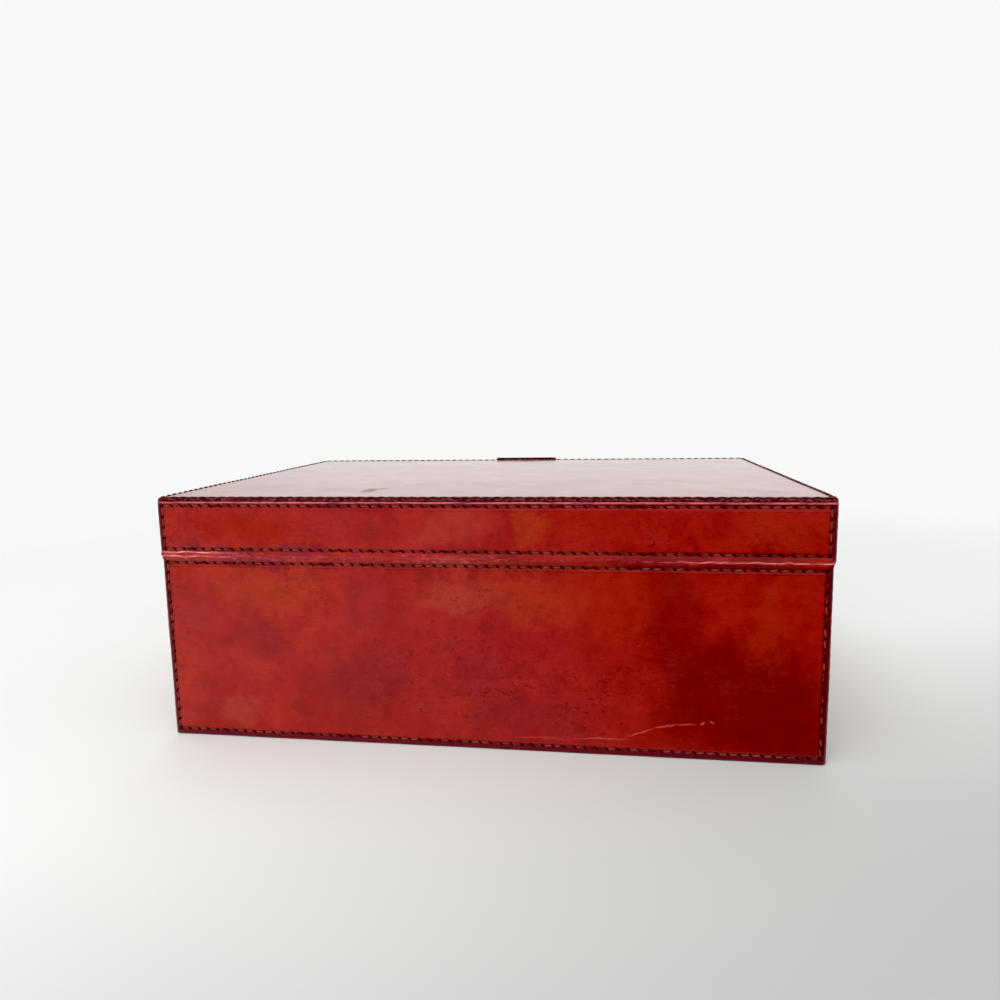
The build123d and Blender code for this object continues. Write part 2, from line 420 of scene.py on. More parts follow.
@dataclass(frozen=True)
class RedHide:
    """Glossy mottled brick-red hide with a darker border, painted shade in its stitch holes and beside its
    rows, and painted highlights on its edges and creases.

    A bump is a distance in metres and a strength.
    """

    name: str = "red_hide"
    brick: Colour = srgb(170, 40, 30)
    crimson: Colour = srgb(156, 26, 28)
    deep: Colour = srgb(104, 8, 10)
    burgundy: Colour = srgb(84, 6, 26)
    pink: Colour = srgb(214, 96, 98)
    cream: Colour = srgb(244, 176, 146)
    # Painted shade in the stitch holes and in the strips beside the rows
    hole_and_groove_shade: Colour = srgb(60, 12, 14)
    clouds: Grain = Grain(17, 5, 0.62, (0.36, 0.64), distortion=0.6)
    dusk: Grain = Grain(9, 4, 0.55, (0.5, 0.75), (0, 0.5), (1, 1, 1), (3, 1, 2))
    mottle: Grain = Grain(110, 7, 0.7, (0.44, 0.66), (0, 0.29))
    mottle_glow: Grain = Grain(110, 7, 0.7, (0.5, 0.26), (0, 0.04))
    hair: Grain = Grain(1, 3, 0.6, (0.4, 0.75), (0, 0.14), (160, 160, 1300))
    fleck_field: Grain = Grain(24, 4, 0.6, (0.45, 0.7), (0.12, 0.65))
    pits: Grain = Grain(480, 4, 0.66, (0.56, 0.66), stretch=(0.75, 0.75, 1.2))
    blots: Grain = Grain(210, 5, 0.75, (0.52, 0.66), (0, 0.6), (0.8, 0.8, 1.1))
    specks: Grain = Grain(620, 3, 0.6, (0.62, 0.72), (0, 0.22))
    row_shade_breakup: Grain = Grain(30, 4, 0.6, (0.35, 0.65), (0.4, 1.0))
    streaks: Grain = Grain(1, 4, 0.65, (0.36, 0.62), (0.3, 1.0), (160, 160, 1300))
    crackle: Grain = Grain(760, 3, 0.6, (0.54, 0.64), stretch=(0.6, 0.6, 1))
    skin: Grain = Grain(900, 3, 0.6)
    sheen: Grain = Grain(60, 4, 0.6, (0.3, 0.7), (0.34, 0.5))
    patch_drift: Drift = Drift(Grain(42, 7, 0.72), 0.046)
    mark_drift: Drift = Drift(Grain(160, 7, 0.72), 0.0035)
    hole_slope: float = 30.0
    hole_half_length: float = 1.2
    hole_half_width: float = 0.5
    hole_rim: Span = (0.5, 1.5)
    row_strip: Span = (0.5, 1.7)
    row_shade: float = 0.4
    border_share: float = 0.82
    border_shine: float = 1.0
    # Levels of the painted highlight at which the pink crackle and the cream show
    crackle_levels: Span = (0.04, 0.3)
    crackle_share: float = 0.42
    cream_levels: Span = (0.9, 1.7)
    pore_scale: float = 700
    pore_width: float = 0.5
    skin_bump: Span = (0.00006, 0.8)
    pore_bump: Span = (0.00003, 0.6)
    hair_bump: Span = (0.00008, 0.5)
    hole_bump: Span = (-0.0006, 0.8)
    patches: tuple[Patch, ...] = ()
    scratches: tuple[Patch, ...] = ()
    worn: tuple[Patch, ...] = ()
    stains: tuple[Patch, ...] = ()
    stain_dullness: float = 0.55

    @staticmethod
    def row(shader: Shader, name: str) -> list[Socket]:
        """Returns what a row attribute holds: place in stitches, distance from the row, 1 beside it."""
        return list(shader.node("SeparateXYZ", {0: shader.attribute(name, "Vector")}).outputs)

    def holes(self, shader: Shader, name: str) -> Socket:
        """Returns the mask of the slanted stitch holes along the rows that an attribute holds.

        Args:
            shader: The material.
            name: The attribute.

        Returns:
            The mask, 1 inside a hole.
        """
        stitch, across, beside = self.row(shader, name)
        beat = shader.math("SUBTRACT", shader.math("FRACT", shader.math("ADD", stitch, 0.5)), 0.5)
        along = shader.math("MULTIPLY", beat, STITCH)
        slope = math.radians(self.hole_slope)
        lean = shader.math("ADD", shader.math("MULTIPLY", along, math.sin(slope)),
                           shader.math("MULTIPLY", across, math.cos(slope)))
        reach = shader.math("SUBTRACT", shader.math("MULTIPLY", along, math.cos(slope)),
                            shader.math("MULTIPLY", across, math.sin(slope)))
        parts = [shader.math("POWER", shader.math("DIVIDE", way, half), 2)
                 for way, half in ((lean, self.hole_half_width), (reach, self.hole_half_length))]
        square = shader.math("ADD", *parts)
        return shader.math("MULTIPLY", shader.ramp(square, *self.hole_rim, 1, 0), beside)

    def beside_row(self, shader: Shader, name: str) -> Socket:
        """Returns the mask of the painted shade in the strip along the rows that an attribute holds."""
        across, beside = self.row(shader, name)[1:]
        return shader.math("MULTIPLY", beside,
                           shader.ramp(shader.math("ABSOLUTE", across), *self.row_strip, 1, 0))

    def mottled(self, shader: Shader, drifting: Socket, hair: Socket) -> Socket:
        """Returns the hide's tones: clouds, patches, mottling, fine hairs, dark pits and light specks.

        Args:
            shader: The material.
            drifting: The wandering place of the patches.
            hair: The noise of the hairs.

        Returns:
            The colour.
        """
        colour = shader.mix(self.clouds.mask(shader), self.brick, self.crimson)
        colour = shader.mix(self.dusk.mask(shader), colour, self.deep)
        for patch in self.patches:
            colour = patch.over(shader, drifting, colour)
        mottle = self.mottle.noise(shader)
        colour = shader.mix(self.mottle.mask(shader, mottle), colour, self.deep)
        colour = shader.mix(self.mottle_glow.mask(shader, mottle), colour, self.pink)
        colour = shader.mix(self.hair.mask(shader, hair), colour, self.deep)
        worn = self.fleck_field.mask(shader)
        for patch in self.worn:
            worn = shader.math("MAXIMUM", worn, patch.mask(shader, drifting))
        flecks = shader.math("MAXIMUM", self.pits.mask(shader), self.blots.mask(shader))
        colour = shader.mix(shader.math("MULTIPLY", flecks, worn), colour, self.deep)
        return shader.mix(shader.math("MULTIPLY", self.specks.mask(shader), worn), colour, self.pink)

    def aged(self, shader: Shader, border: Socket, colour: Socket) -> Socket:
        """Returns a colour with the dark border, painted shade beside the rows, and painted pink and cream
        highlights, partly wear, on edges and creases.

        Args:
            shader: The material.
            border: The share of the border.
            colour: The colour under them.

        Returns:
            The colour.
        """
        colour = shader.mix(shader.math("MULTIPLY", border, self.border_share), colour, self.burgundy)
        # Painted shade in the grooves: the strips beside the rows darken towards the hole colour, broken up
        # by noise
        strips = shader.math("MAXIMUM", *[self.beside_row(shader, name) for name in ROWS])
        strips = shader.math("MULTIPLY", strips, self.row_shade_breakup.mask(shader))
        colour = shader.mix(shader.math("MULTIPLY", strips, self.row_shade), colour, self.hole_and_groove_shade)
        # Painted pink and cream highlights along rounded edges, creases and folds, with real wear in the
        # middle of the band
        share = shader.attribute("rubbed")
        streaked = shader.math("MULTIPLY", share, self.streaks.mask(shader))
        colour = shader.mix(shader.ramp(streaked, 0, 1), colour, self.pink)
        crackle = shader.ramp(share, *self.crackle_levels)
        crackle = shader.math("MULTIPLY", self.crackle.mask(shader), crackle)
        colour = shader.mix(shader.math("MULTIPLY", crackle, self.crackle_share), colour, self.pink)
        return shader.mix(shader.ramp(streaked, *self.cream_levels), colour, self.cream)

    def relief(self, shader: Shader, hair: Socket, holes: Socket) -> Socket:
        """Returns the normal of the skin with its pores, hairs and stitch holes.

        Args:
            shader: The material.
            hair: The noise of the hairs.
            holes: The mask of the holes.

        Returns:
            The normal.
        """
        pores = shader.node("TexVoronoi", {"Vector": shader.place, "Scale": self.pore_scale}).outputs[0]
        normal = shader.bump(self.skin.noise(shader), *self.skin_bump)
        normal = shader.bump(shader.ramp(pores, 0, self.pore_width), *self.pore_bump, normal)
        normal = shader.bump(hair, *self.hair_bump, normal)
        return shader.bump(holes, *self.hole_bump, normal)

    def build(self) -> Material:
        """Builds the material.

        Returns:
            The material.
        """
        shader = Shader(self.name)
        drifting, trembling = self.patch_drift.place(shader), self.mark_drift.place(shader)
        hair = self.hair.noise(shader)
        border = shader.attribute("border")
        holes = shader.math("MAXIMUM", *[self.holes(shader, name) for name in ROWS])
        colour = self.mottled(shader, drifting, hair)
        for mark in self.scratches + self.stains:
            colour = mark.over(shader, trembling, colour)
        colour = self.aged(shader, border, colour)
        dull = shader.math("MAXIMUM", holes, shader.math("MULTIPLY", border, 1 - self.border_shine))
        for stain in self.stains:
            share = shader.math("MULTIPLY", stain.mask(shader, trembling), self.stain_dullness)
            dull = shader.math("MAXIMUM", dull, share)
        # Painted shade: the stitch holes take the dark hole colour
        shader.set(Base_Color=shader.mix(holes, colour, self.hole_and_groove_shade),
                   Roughness=shader.math("MAXIMUM", self.sheen.mask(shader), dull),
                   Normal=self.relief(shader, hair, holes), Specular_IOR_Level=0.06,
                   Coat_Weight=shader.math("SUBTRACT", 1.0, dull), Coat_Roughness=0.14, Coat_IOR=1.3)
        return shader.material


@dataclass(frozen=True)
class CutEdge:
    """The dark waxed cut edge of thick hide."""

    dark: Colour = srgb(48, 16, 20)
    light: Colour = srgb(118, 62, 62)
    foot: Colour = srgb(126, 10, 34)
    streaks: Grain = Grain(1, 3, 0.6, (0.42, 0.68), stretch=(650, 650, 900))
    foot_levels: Span = (0.45, 0.65)
    polish: Grain = Grain(300, shares=(0.3, 0.5))

    def build(self) -> Material:
        """Builds the material.

        Returns:
            The material.
        """
        shader = Shader("waxed_cut_edge")
        streaks = self.streaks.noise(shader)
        colour = shader.mix(self.streaks.mask(shader, streaks), self.dark, self.light)
        foot = shader.ramp(shader.attribute("foot"), *self.foot_levels)
        shader.set(Base_Color=shader.mix(foot, colour, self.foot), Roughness=self.polish.mask(shader),
                   Normal=shader.bump(streaks, distance=0.0001, strength=0.6), Specular_IOR_Level=0.15)
        return shader.material


@dataclass(frozen=True)
class WaxedThread:
    """Dark brown waxed thread, with a painted highlight that lightens the crown of each stitch."""

    dark: Colour = srgb(78, 26, 26)
    # The colour of the painted highlight on the crown of each stitch, broken up by noise
    rubbed: Colour = srgb(166, 80, 74)
    crown_highlight_breakup: Grain = Grain(150, 2, levels=(0.35, 0.62))
    crown_highlight_share: float = 0.75
    twist_scale: float = 900

    def build(self) -> Material:
        """Builds the material.

        Returns:
            The material.
        """
        shader = Shader("waxed_thread")
        share = shader.math("MULTIPLY", shader.attribute("crown"), self.crown_highlight_breakup.mask(shader))
        share = shader.math("MULTIPLY", share, self.crown_highlight_share)
        twist = shader.node("TexWave", {"Vector": shader.place, "Scale": self.twist_scale, "Distortion": 1},
                            bands_direction="DIAGONAL").outputs["Fac"]
        shader.set(Base_Color=shader.mix(share, self.dark, self.rubbed), Roughness=0.45,
                   Normal=shader.bump(twist, distance=0.00008, strength=0.7), Specular_IOR_Level=0.1)
        return shader.material


@dataclass(frozen=True)
class Suede:
    """Tan suede with a soft nap, brushed one way and another."""

    light: Colour = srgb(196, 160, 122)
    dark: Colour = srgb(168, 130, 94)
    brushed: Grain = Grain(38, 4, 0.6, shares=(0, 0.55), distortion=0.3)
    nap: Grain = Grain(2600, 2, 0.7, (0.4, 0.75), (0, 0.35))

    def build(self) -> Material:
        """Builds the material.

        Returns:
            The material.
        """
        shader = Shader("tan_suede")
        nap = self.nap.noise(shader)
        colour = shader.mix(self.brushed.mask(shader), self.light, self.dark)
        shader.set(Base_Color=shader.mix(self.nap.mask(shader, nap), colour, self.dark), Roughness=0.95,
                   Normal=shader.bump(nap, distance=0.0002, strength=0.8),
                   Sheen_Weight=0.5, Sheen_Roughness=0.5, Specular_IOR_Level=0.15)
        return shader.material


@dataclass(frozen=True)
class CaseBoard:
    """Grey-brown fibre board of the case walls."""

    light: Colour = srgb(176, 146, 112)
    dark: Colour = srgb(138, 108, 78)
    fibres: Grain = Grain(1, 4, 0.7, stretch=(300, 300, 2400))

    def build(self) -> Material:
        """Builds the material.

        Returns:
            The material.
        """
        shader = Shader("case_board")
        fibres = self.fibres.noise(shader)
        shader.set(Base_Color=shader.mix(fibres, self.light, self.dark), Roughness=0.85,
                   Normal=shader.bump(fibres, distance=0.0002, strength=0.6))
        return shader.material


@dataclass(frozen=True)
class MagnetSteel:
    """Plated steel of the closure magnets."""

    bright: Colour = srgb(196, 198, 202)
    dull: Colour = srgb(150, 152, 156)
    scuffs: Grain = Grain(800, 3, 0.7, (0.2, 0.8), (0.2, 0.45))

    def build(self) -> Material:
        """Builds the material.

        Returns:
            The material.
        """
        shader = Shader("magnet_steel")
        scuffs = self.scuffs.noise(shader)
        shader.set(Base_Color=shader.mix(scuffs, self.bright, self.dull), Metallic=1.0,
                   Roughness=self.scuffs.mask(shader, scuffs),
                   Normal=shader.bump(scuffs, distance=0.00003, strength=0.4))
        return shader.material


@dataclass(frozen=True)
class PaleFloor:
    """A pale floor that fades into the pale background, with painted shade that darkens it towards +y and -x.
    Its lengths are metres.
    """

    colour: Colour = srgb(240, 243, 240)
    mottle: Grain = Grain(3, shares=(0.97, 1.0))
    dusk: float = 0.4
    dusk_lean: float = 0.7
    dusk_reach: Span = (0.05, 0.37)
    fade: Span = (0.3, 0.85)

    def build(self) -> Material:
        """Builds the material.

        Returns:
            The material.
        """
        shader = Shader("pale_floor")
        away = shader.node("VectorMath", {0: shader.place}, operation="LENGTH").outputs["Value"]
        split = shader.node("SeparateXYZ", {0: shader.place}).outputs
        # Painted shade: the floor darkens towards +y and -x
        way = shader.math("SUBTRACT", split[1], shader.math("MULTIPLY", split[0], self.dusk_lean))
        dusk = shader.ramp(way, *self.dusk_reach, 1, 1 - self.dusk)
        shade = shader.math("MULTIPLY", self.mottle.mask(shader), dusk)
        tint = shader.mix(1.0, self.colour, shade, "MULTIPLY")
        shader.set(Base_Color=tint, Roughness=0.8, Specular_IOR_Level=0.2,
                   Alpha=shader.ramp(away, *self.fade, 1, 0))
        return shader.material


@dataclass(frozen=True)
class DarkReflectionSheet:
    """A dark sheet that stands in for the shaded surroundings in reflections: a painted dark reflection that
    fades out towards a slanting edge. Its lengths are metres.
    """

    colour: Colour = srgb(20, 8, 8)
    edge_start: float = -0.084
    edge_slope: float = 0.22
    fade: float = 0.075
    cover: float = 0.88

    def build(self) -> Material:
        """Builds the material.

        Returns:
            The material.
        """
        shader = Shader("dark_cloth")
        split = shader.node("SeparateXYZ", {0: shader.place}).outputs
        edge = shader.math("ADD", shader.math("MULTIPLY", split[1], self.edge_slope), self.edge_start)
        beyond = shader.math("SUBTRACT", split[0], edge)
        shader.set(Base_Color=self.colour, Roughness=0.9,
                   Alpha=shader.ramp(beyond, -self.fade, self.fade, self.cover, 0))
        return shader.material


@dataclass
class Finishes:
    """Every finish of the box, built once.

    The rear is the place of the rear hide's face, and the marks on it reach a depth to each side of it.
    """

    rear: float
    patch_depth: float = 22.0
    scratch_depth: float = 3.0
    scratch_half_width: float = 0.42
    scratch_core: float = 0.45
    top_height: float = 115.0
    blot_depth: float = 6.0
    hide: Material = field(init=False)
    top_hide: Material = field(init=False)
    edge: Material = field(init=False)
    thread: Material = field(init=False)
    suede: Material = field(init=False)
    board: Material = field(init=False)
    steel: Material = field(init=False)

    def __post_init__(self) -> None:
        """Builds the materials, with the marks where the hides have them."""
        scratches = tuple(
            Patch((x, self.rear, z), (half, self.scratch_depth, self.scratch_half_width),
                  Tint.SCUFF.value, share, turn, self.scratch_core)
            for x, z, half, turn, share in REAR_SCRATCHES)
        stains = tuple(
            Patch((x, self.rear - away, self.top_height), (wide, long, self.blot_depth),
                  Tint.STAIN.value, share)
            for x, away, wide, long, share in TOP_BLOT)
        self.hide = RedHide(patches=self.on_rear(REAR_PATCHES), scratches=scratches,
                            worn=self.on_rear(REAR_WEAR)).build()
        # The top hide takes the darker top tones as painted shade, with strong painted shade beside its rows
        self.top_hide = RedHide("red_top_hide", Tint.TOP.value, Tint.TOP_SHADE.value, burgundy=Tint.RIM.value,
                                row_shade=0.85, border_share=0.9, border_shine=0.25, stains=stains).build()
        self.edge = CutEdge().build()
        self.thread = WaxedThread().build()
        self.suede = Suede().build()
        self.board = CaseBoard().build()
        self.steel = MagnetSteel().build()

    def on_rear(self, marks: tuple[tuple, ...]) -> tuple[Patch, ...]:
        """Returns patches on the rear hide, from their rows of numbers."""
        return tuple(Patch((x, self.rear, z), (wide, self.patch_depth, high), tint.value, share)
                     for x, z, wide, high, tint, share in marks)

    def of(self, slot: Slot) -> Material:
        """Returns the finish of a slot of the record."""
        return {Slot.LEATHER: self.hide, Slot.BOARD: self.board, Slot.SUEDE: self.suede,
                Slot.STEEL: self.steel, Slot.THREAD: self.thread}[slot]


# Meshes


def report(piece: bpy.types.Object) -> None:
    """Reports a finished piece."""
    LOG.info("%s: %d faces", piece.name, len(piece.data.polygons))


def make_object(name: str, points: np.ndarray, faces: list, materials: list[Material],
                attributes: dict[str, np.ndarray] | None = None, sharp_over: float = 50) -> bpy.types.Object:
    """Makes a mesh object at the origin.

    Args:
        name: The piece's name.
        points: The vertices, in millimetres.
        faces: The faces, as lists of vertex numbers.
        materials: The materials of its slots.
        attributes: Values for each vertex, one number or three each.
        sharp_over: Edges that bend more than this many degrees stay sharp.

    Returns:
        The object.
    """
    mesh = bpy.data.meshes.new(name)
    mesh.from_pydata((points * MM).tolist(), [], faces)
    for material in materials:
        mesh.materials.append(material)
    for key, values in (attributes or {}).items():
        if values.ndim == 1:
            mesh.attributes.new(key, "FLOAT", "POINT").data.foreach_set("value", values.astype(np.float32))
        else:
            made = mesh.attributes.new(key, "FLOAT_VECTOR", "POINT")
            made.data.foreach_set("vector", values.astype(np.float32).ravel())
    mesh.shade_smooth()
    mesh.set_sharp_from_angle(angle=math.radians(sharp_over))
    made_object = bpy.data.objects.new(name, mesh)
    bpy.context.scene.collection.objects.link(made_object)
    return made_object


def stations(low: float, high: float, step: float, lines: list[float], reach: float = 1.2,
             fine: float = 0.4) -> np.ndarray:
    """Returns places from low to high at a step, closer together around lines.

    Args:
        low: The first place.
        high: The last place.
        step: The widest gap.
        lines: Places that need finer steps around them.
        reach: How far the finer steps go to each side of a line.
        fine: The finer step.

    Returns:
        The places, rising.
    """
    regular_gap, fine_gap = fine * 0.6, fine * 0.45
    count = max(1, round((high - low) / step))
    regular = list(np.linspace(low, high, count + 1))
    near = [line + k * fine for line in lines for k in range(-round(reach / fine), round(reach / fine) + 1)]
    must = sorted({low, high, *[n for n in near if low < n < high]})
    kept = [place for place in regular if min(abs(place - m) for m in must) > regular_gap]
    merged = sorted(must + kept)
    apart = [merged[0]]
    for place in merged[1:]:
        if place - apart[-1] > fine_gap:
            apart.append(place)
    apart[-1] = high
    return np.array(apart)


def slab_faces(columns: int, rows: int) -> list[list[int]]:
    """Returns the faces of a closed slab: a grid in front, walls, and a back of one strip per row.

    The front's vertices come first, column by column. Then come the back's: those of the left edge
    upwards, those of the right edge upwards, and those of the bottom and top edge between them.

    Args:
        columns: The number of vertices along the slab.
        rows: The number of vertices up the slab.

    Returns:
        The faces, all pointing outwards.
    """
    front = columns * rows
    number = np.arange(front).reshape(columns, rows)
    quads = np.stack([number[:-1, :-1], number[1:, :-1], number[1:, 1:], number[:-1, 1:]], -1).reshape(-1, 4)
    left = [front + j for j in range(rows)]
    right = [front + rows + j for j in range(rows)]
    bottom = [left[0], *[front + 2 * rows + i for i in range(columns - 2)], right[0]]
    top = [left[-1], *[front + 2 * rows + columns - 2 + i for i in range(columns - 2)], right[-1]]
    faces = quads.tolist()
    for i in range(columns - 1):
        faces.append([int(number[i + 1, 0]), int(number[i, 0]), bottom[i], bottom[i + 1]])
        faces.append([int(number[i, -1]), int(number[i + 1, -1]), top[i + 1], top[i]])
    for j in range(rows - 1):
        faces.append([int(number[0, j]), int(number[0, j + 1]), left[j + 1], left[j]])
        faces.append([int(number[-1, j + 1]), int(number[-1, j]), right[j], right[j + 1]])
    faces.append([*bottom[::-1], left[1], right[1]])
    for j in range(1, rows - 2):
        faces.append([right[j], left[j], left[j + 1], right[j + 1]])
    faces.append([*top, right[-2], left[-2]])
    return faces


def back_ring(back: np.ndarray) -> np.ndarray:
    """Returns the edge points of a back grid, in the order that slab_faces takes them."""
    return np.concatenate([back[0], back[-1], back[1:-1, 0], back[1:-1, -1]])


def ripple(first: np.ndarray, second: np.ndarray, height: float, longest: float, seed: int) -> np.ndarray:
    """Returns soft seeded waves over a surface.

    Args:
        first: One coordinate of each point.
        second: The other coordinate.
        height: The height of the waves.
        longest: The longest wavelength.
        seed: The seed of the waves' directions.

    Returns:
        The height at each point.
    """
    random = np.random.RandomState(seed)
    total = np.zeros(np.broadcast(first, second).shape)
    for k in range(RIPPLE_WAVES):
        angle, phase = random.uniform(0, math.tau, 2).tolist()
        length = longest / (1 + RIPPLE_SHORTENING * k)
        wave = (first * math.cos(angle) + second * math.sin(angle)) * math.tau / length
        total += np.sin(wave + phase) / (1 + RIPPLE_WEAKENING * k)
    return height * total / RIPPLE_SUM


def with_back(front: np.ndarray, count: int, back: float = 0.0) -> np.ndarray:
    """Returns one value for each point of a slab: those of its front, then the same one all over its back."""
    return np.concatenate([front.ravel(), np.full(count - front.size, back)])


def rounded(first: np.ndarray, second: np.ndarray, past_first: np.ndarray,
            past_second: np.ndarray) -> tuple[np.ndarray, np.ndarray]:
    """Draws the square corners of a grid in to a radius.

    Args:
        first: One coordinate of each point.
        second: The other coordinate.
        past_first: How far the point lies past the middle of its corner's arc along the first, or 0.
        past_second: The same along the second.

    Returns:
        The two coordinates.
    """
    square = np.maximum(np.abs(past_first), np.abs(past_second))
    straight = np.hypot(past_first, past_second)
    factor = np.where(straight > 0, square / np.where(straight > 0, straight, 1), 1)
    both = (past_first != 0) & (past_second != 0)
    return (np.where(both, first - past_first * (1 - factor), first),
            np.where(both, second - past_second * (1 - factor), second))


@dataclass(frozen=True)
class Seam:
    """A straight row of stitches on a panel, from start to end in the panel's own millimetres."""

    start: tuple[float, float]
    end: tuple[float, float]
    body: Body
    longest_stitch: float = STITCH
    run_out: Span = (-0.9, -0.3)

    @property
    def level(self) -> bool:
        """True for a row that runs along the panel."""
        return bool(abs(self.end[0] - self.start[0]) > abs(self.end[1] - self.start[1]))

    @property
    def length(self) -> float:
        """The length of the row."""
        return math.dist(self.start, self.end)

    @property
    def count(self) -> int:
        """The number of stitches."""
        return max(1, round(self.length / self.longest_stitch))

    def measure(self, along: np.ndarray, up: np.ndarray) -> tuple[np.ndarray, np.ndarray, np.ndarray]:
        """Measures points from the row.

        Args:
            along: The points' places along the panel.
            up: The points' places up the panel.

        Returns:
            The place along the row in stitches, the distance from its line, and 1 beside the row.
        """
        if self.level:
            way, off, first = along, up - self.start[1], self.start[0]
        else:
            way, off, first = up, self.start[0] - along, self.start[1]
        run = way - first
        beside = smoothstep(*self.run_out, run) * smoothstep(*self.run_out, self.length - run)
        return run / self.length * self.count, off, beside

    def stitches(self) -> list[tuple[np.ndarray, np.ndarray]]:
        """Returns the middle of each stitch and the way along it."""
        start, end = np.array(self.start), np.array(self.end)
        return [(start + (end - start) * (k + 0.5) / self.count, (end - start) / self.length)
                for k in range(self.count)]


@dataclass(frozen=True)
class SeamPath:
    """A row of stitches along any path on a strap, in the strap's own millimetres."""

    corners: np.ndarray
    body: Body
    longest_stitch: float = STITCH
    fine_step: float = 0.25
    reach: float = 2.6

    @property
    def points(self) -> np.ndarray:
        """The path as points a small step apart."""
        runs = np.concatenate([[0], np.cumsum(np.hypot(*np.diff(self.corners, axis=0).T))])
        travelled = np.linspace(0, runs[-1], int(runs[-1] / self.fine_step) + 2)
        return np.stack([np.interp(travelled, runs, self.corners[:, k]) for k in range(2)], -1)

    @property
    def length(self) -> float:
        """The length of the path."""
        return float(np.hypot(*np.diff(self.corners, axis=0).T).sum())

    @property
    def count(self) -> int:
        """The number of stitches."""
        return max(1, round(self.length / self.longest_stitch))

    def measure(self, along: np.ndarray, up: np.ndarray) -> tuple[np.ndarray, np.ndarray, np.ndarray]:
        """Measures points from the path.

        Args:
            along: The points' places along the strap.
            up: The points' places up the strap.

        Returns:
            The place along the path in stitches, the distance from it, and 1 beside it.
        """
        points = self.points
        off = np.full(along.shape, np.inf)
        share = np.zeros(along.shape)
        for k, (first, last) in enumerate(zip(points[:-1], points[1:])):
            way = (last - first) / math.dist(first, last)
            run = np.clip((along - first[0]) * way[0] + (up - first[1]) * way[1], 0, math.dist(first, last))
            side = (up - first[1] - run * way[1]) * way[0] - (along - first[0] - run * way[0]) * way[1]
            gap = np.hypot(along - first[0] - run * way[0], up - first[1] - run * way[1])
            nearer = gap < np.abs(off)
            off = np.where(nearer, np.copysign(gap, side), off)
            share = np.where(nearer, (k + run / math.dist(first, last)) / (len(points) - 1), share)
        return share * self.count, off, (np.abs(off) < self.reach).astype(float)

    def stitches(self) -> list[tuple[np.ndarray, np.ndarray]]:
        """Returns the stitches of the path.

        Returns:
            The middle of each stitch and the way along it.
        """
        points = self.points
        shares = np.linspace(0, 1, len(points))
        found = []
        for k in range(self.count):
            before, after = (np.array([np.interp((k + part) / self.count, shares, points[:, axis])
                                       for axis in range(2)]) for part in (0.25, 0.75))
            found.append(((before + after) / 2, (after - before) / math.dist(before, after)))
        return found


@dataclass(frozen=True)
class StitchedRelief:
    """The surface of stitched hide: grooves under the rows, dents at the holes and soft waves."""

    seams: tuple[Seam, ...]
    seed: int
    groove_depth: float = 0.32
    groove_half_width: float = 0.75
    dent_depth: float = 0.28
    dent_half_length: float = 0.8
    dent_half_width: float = 0.9
    pucker_height: float = 0.05
    pucker_half_width: float = 2.6
    wave_height: float = 0.16
    wave_length: float = 85.0
    row_reach: float = 2.2

    def height(self, along: np.ndarray, up: np.ndarray) -> np.ndarray:
        """Returns the height of the surface over the flat panel.

        Args:
            along: The points' places along the panel.
            up: The points' places up the panel.

        Returns:
            The heights, in millimetres.
        """
        total = ripple(along, up, self.wave_height, self.wave_length, self.seed)
        for seam in self.seams:
            phase, off, beside = seam.measure(along, up)
            groove = bell(off, self.groove_half_width) * beside
            stitch = seam.length / seam.count
            from_hole = (phase - np.round(phase)) * stitch
            near_hole = (from_hole / self.dent_half_length) ** 2
            dent = np.exp(-near_hole - (off / self.dent_half_width) ** 2) * beside
            pucker = np.cos(phase * math.tau) * bell(off, self.pucker_half_width) * beside
            total = total - groove * self.groove_depth - dent * self.dent_depth - pucker * self.pucker_height
        return total

    @staticmethod
    def no_rows(*shape: int) -> np.ndarray:
        """Returns the row attribute of a grid of places that lie far from every row."""
        return np.tile(NO_ROW, (*shape, 1))

    @staticmethod
    def attributes(count: int, found: dict[str, np.ndarray]) -> dict[str, np.ndarray]:
        """Returns the row attributes of a slab of so many points, from those found on its front."""
        return {name: np.concatenate([front.reshape(-1, 3), StitchedRelief.no_rows(count - front.size // 3)])
                for name, front in found.items()}

    def rows(self, along: np.ndarray, up: np.ndarray) -> dict[str, np.ndarray]:
        """Returns the row attributes that the hide's finish reads, for the level and upright rows.

        Args:
            along: The points' places along the panel.
            up: The points' places up the panel.

        Returns:
            Three values for each point, under each name.
        """
        found = {}
        for name, level in zip(ROWS, (True, False)):
            values = self.no_rows(*np.broadcast(along, up).shape)
            nearest = np.full(values.shape[:2], np.inf)
            for seam in (s for s in self.seams if s.level == level):
                phase, off, beside = seam.measure(along, up)
                near = (np.abs(off) < nearest) & (np.abs(off) < self.row_reach) & (beside > 0)
                for k, value in enumerate((phase, off, beside)):
                    values[..., k][near] = np.broadcast_to(value, near.shape)[near]
                nearest[near] = np.broadcast_to(np.abs(off), near.shape)[near]
            found[name] = values
        return found


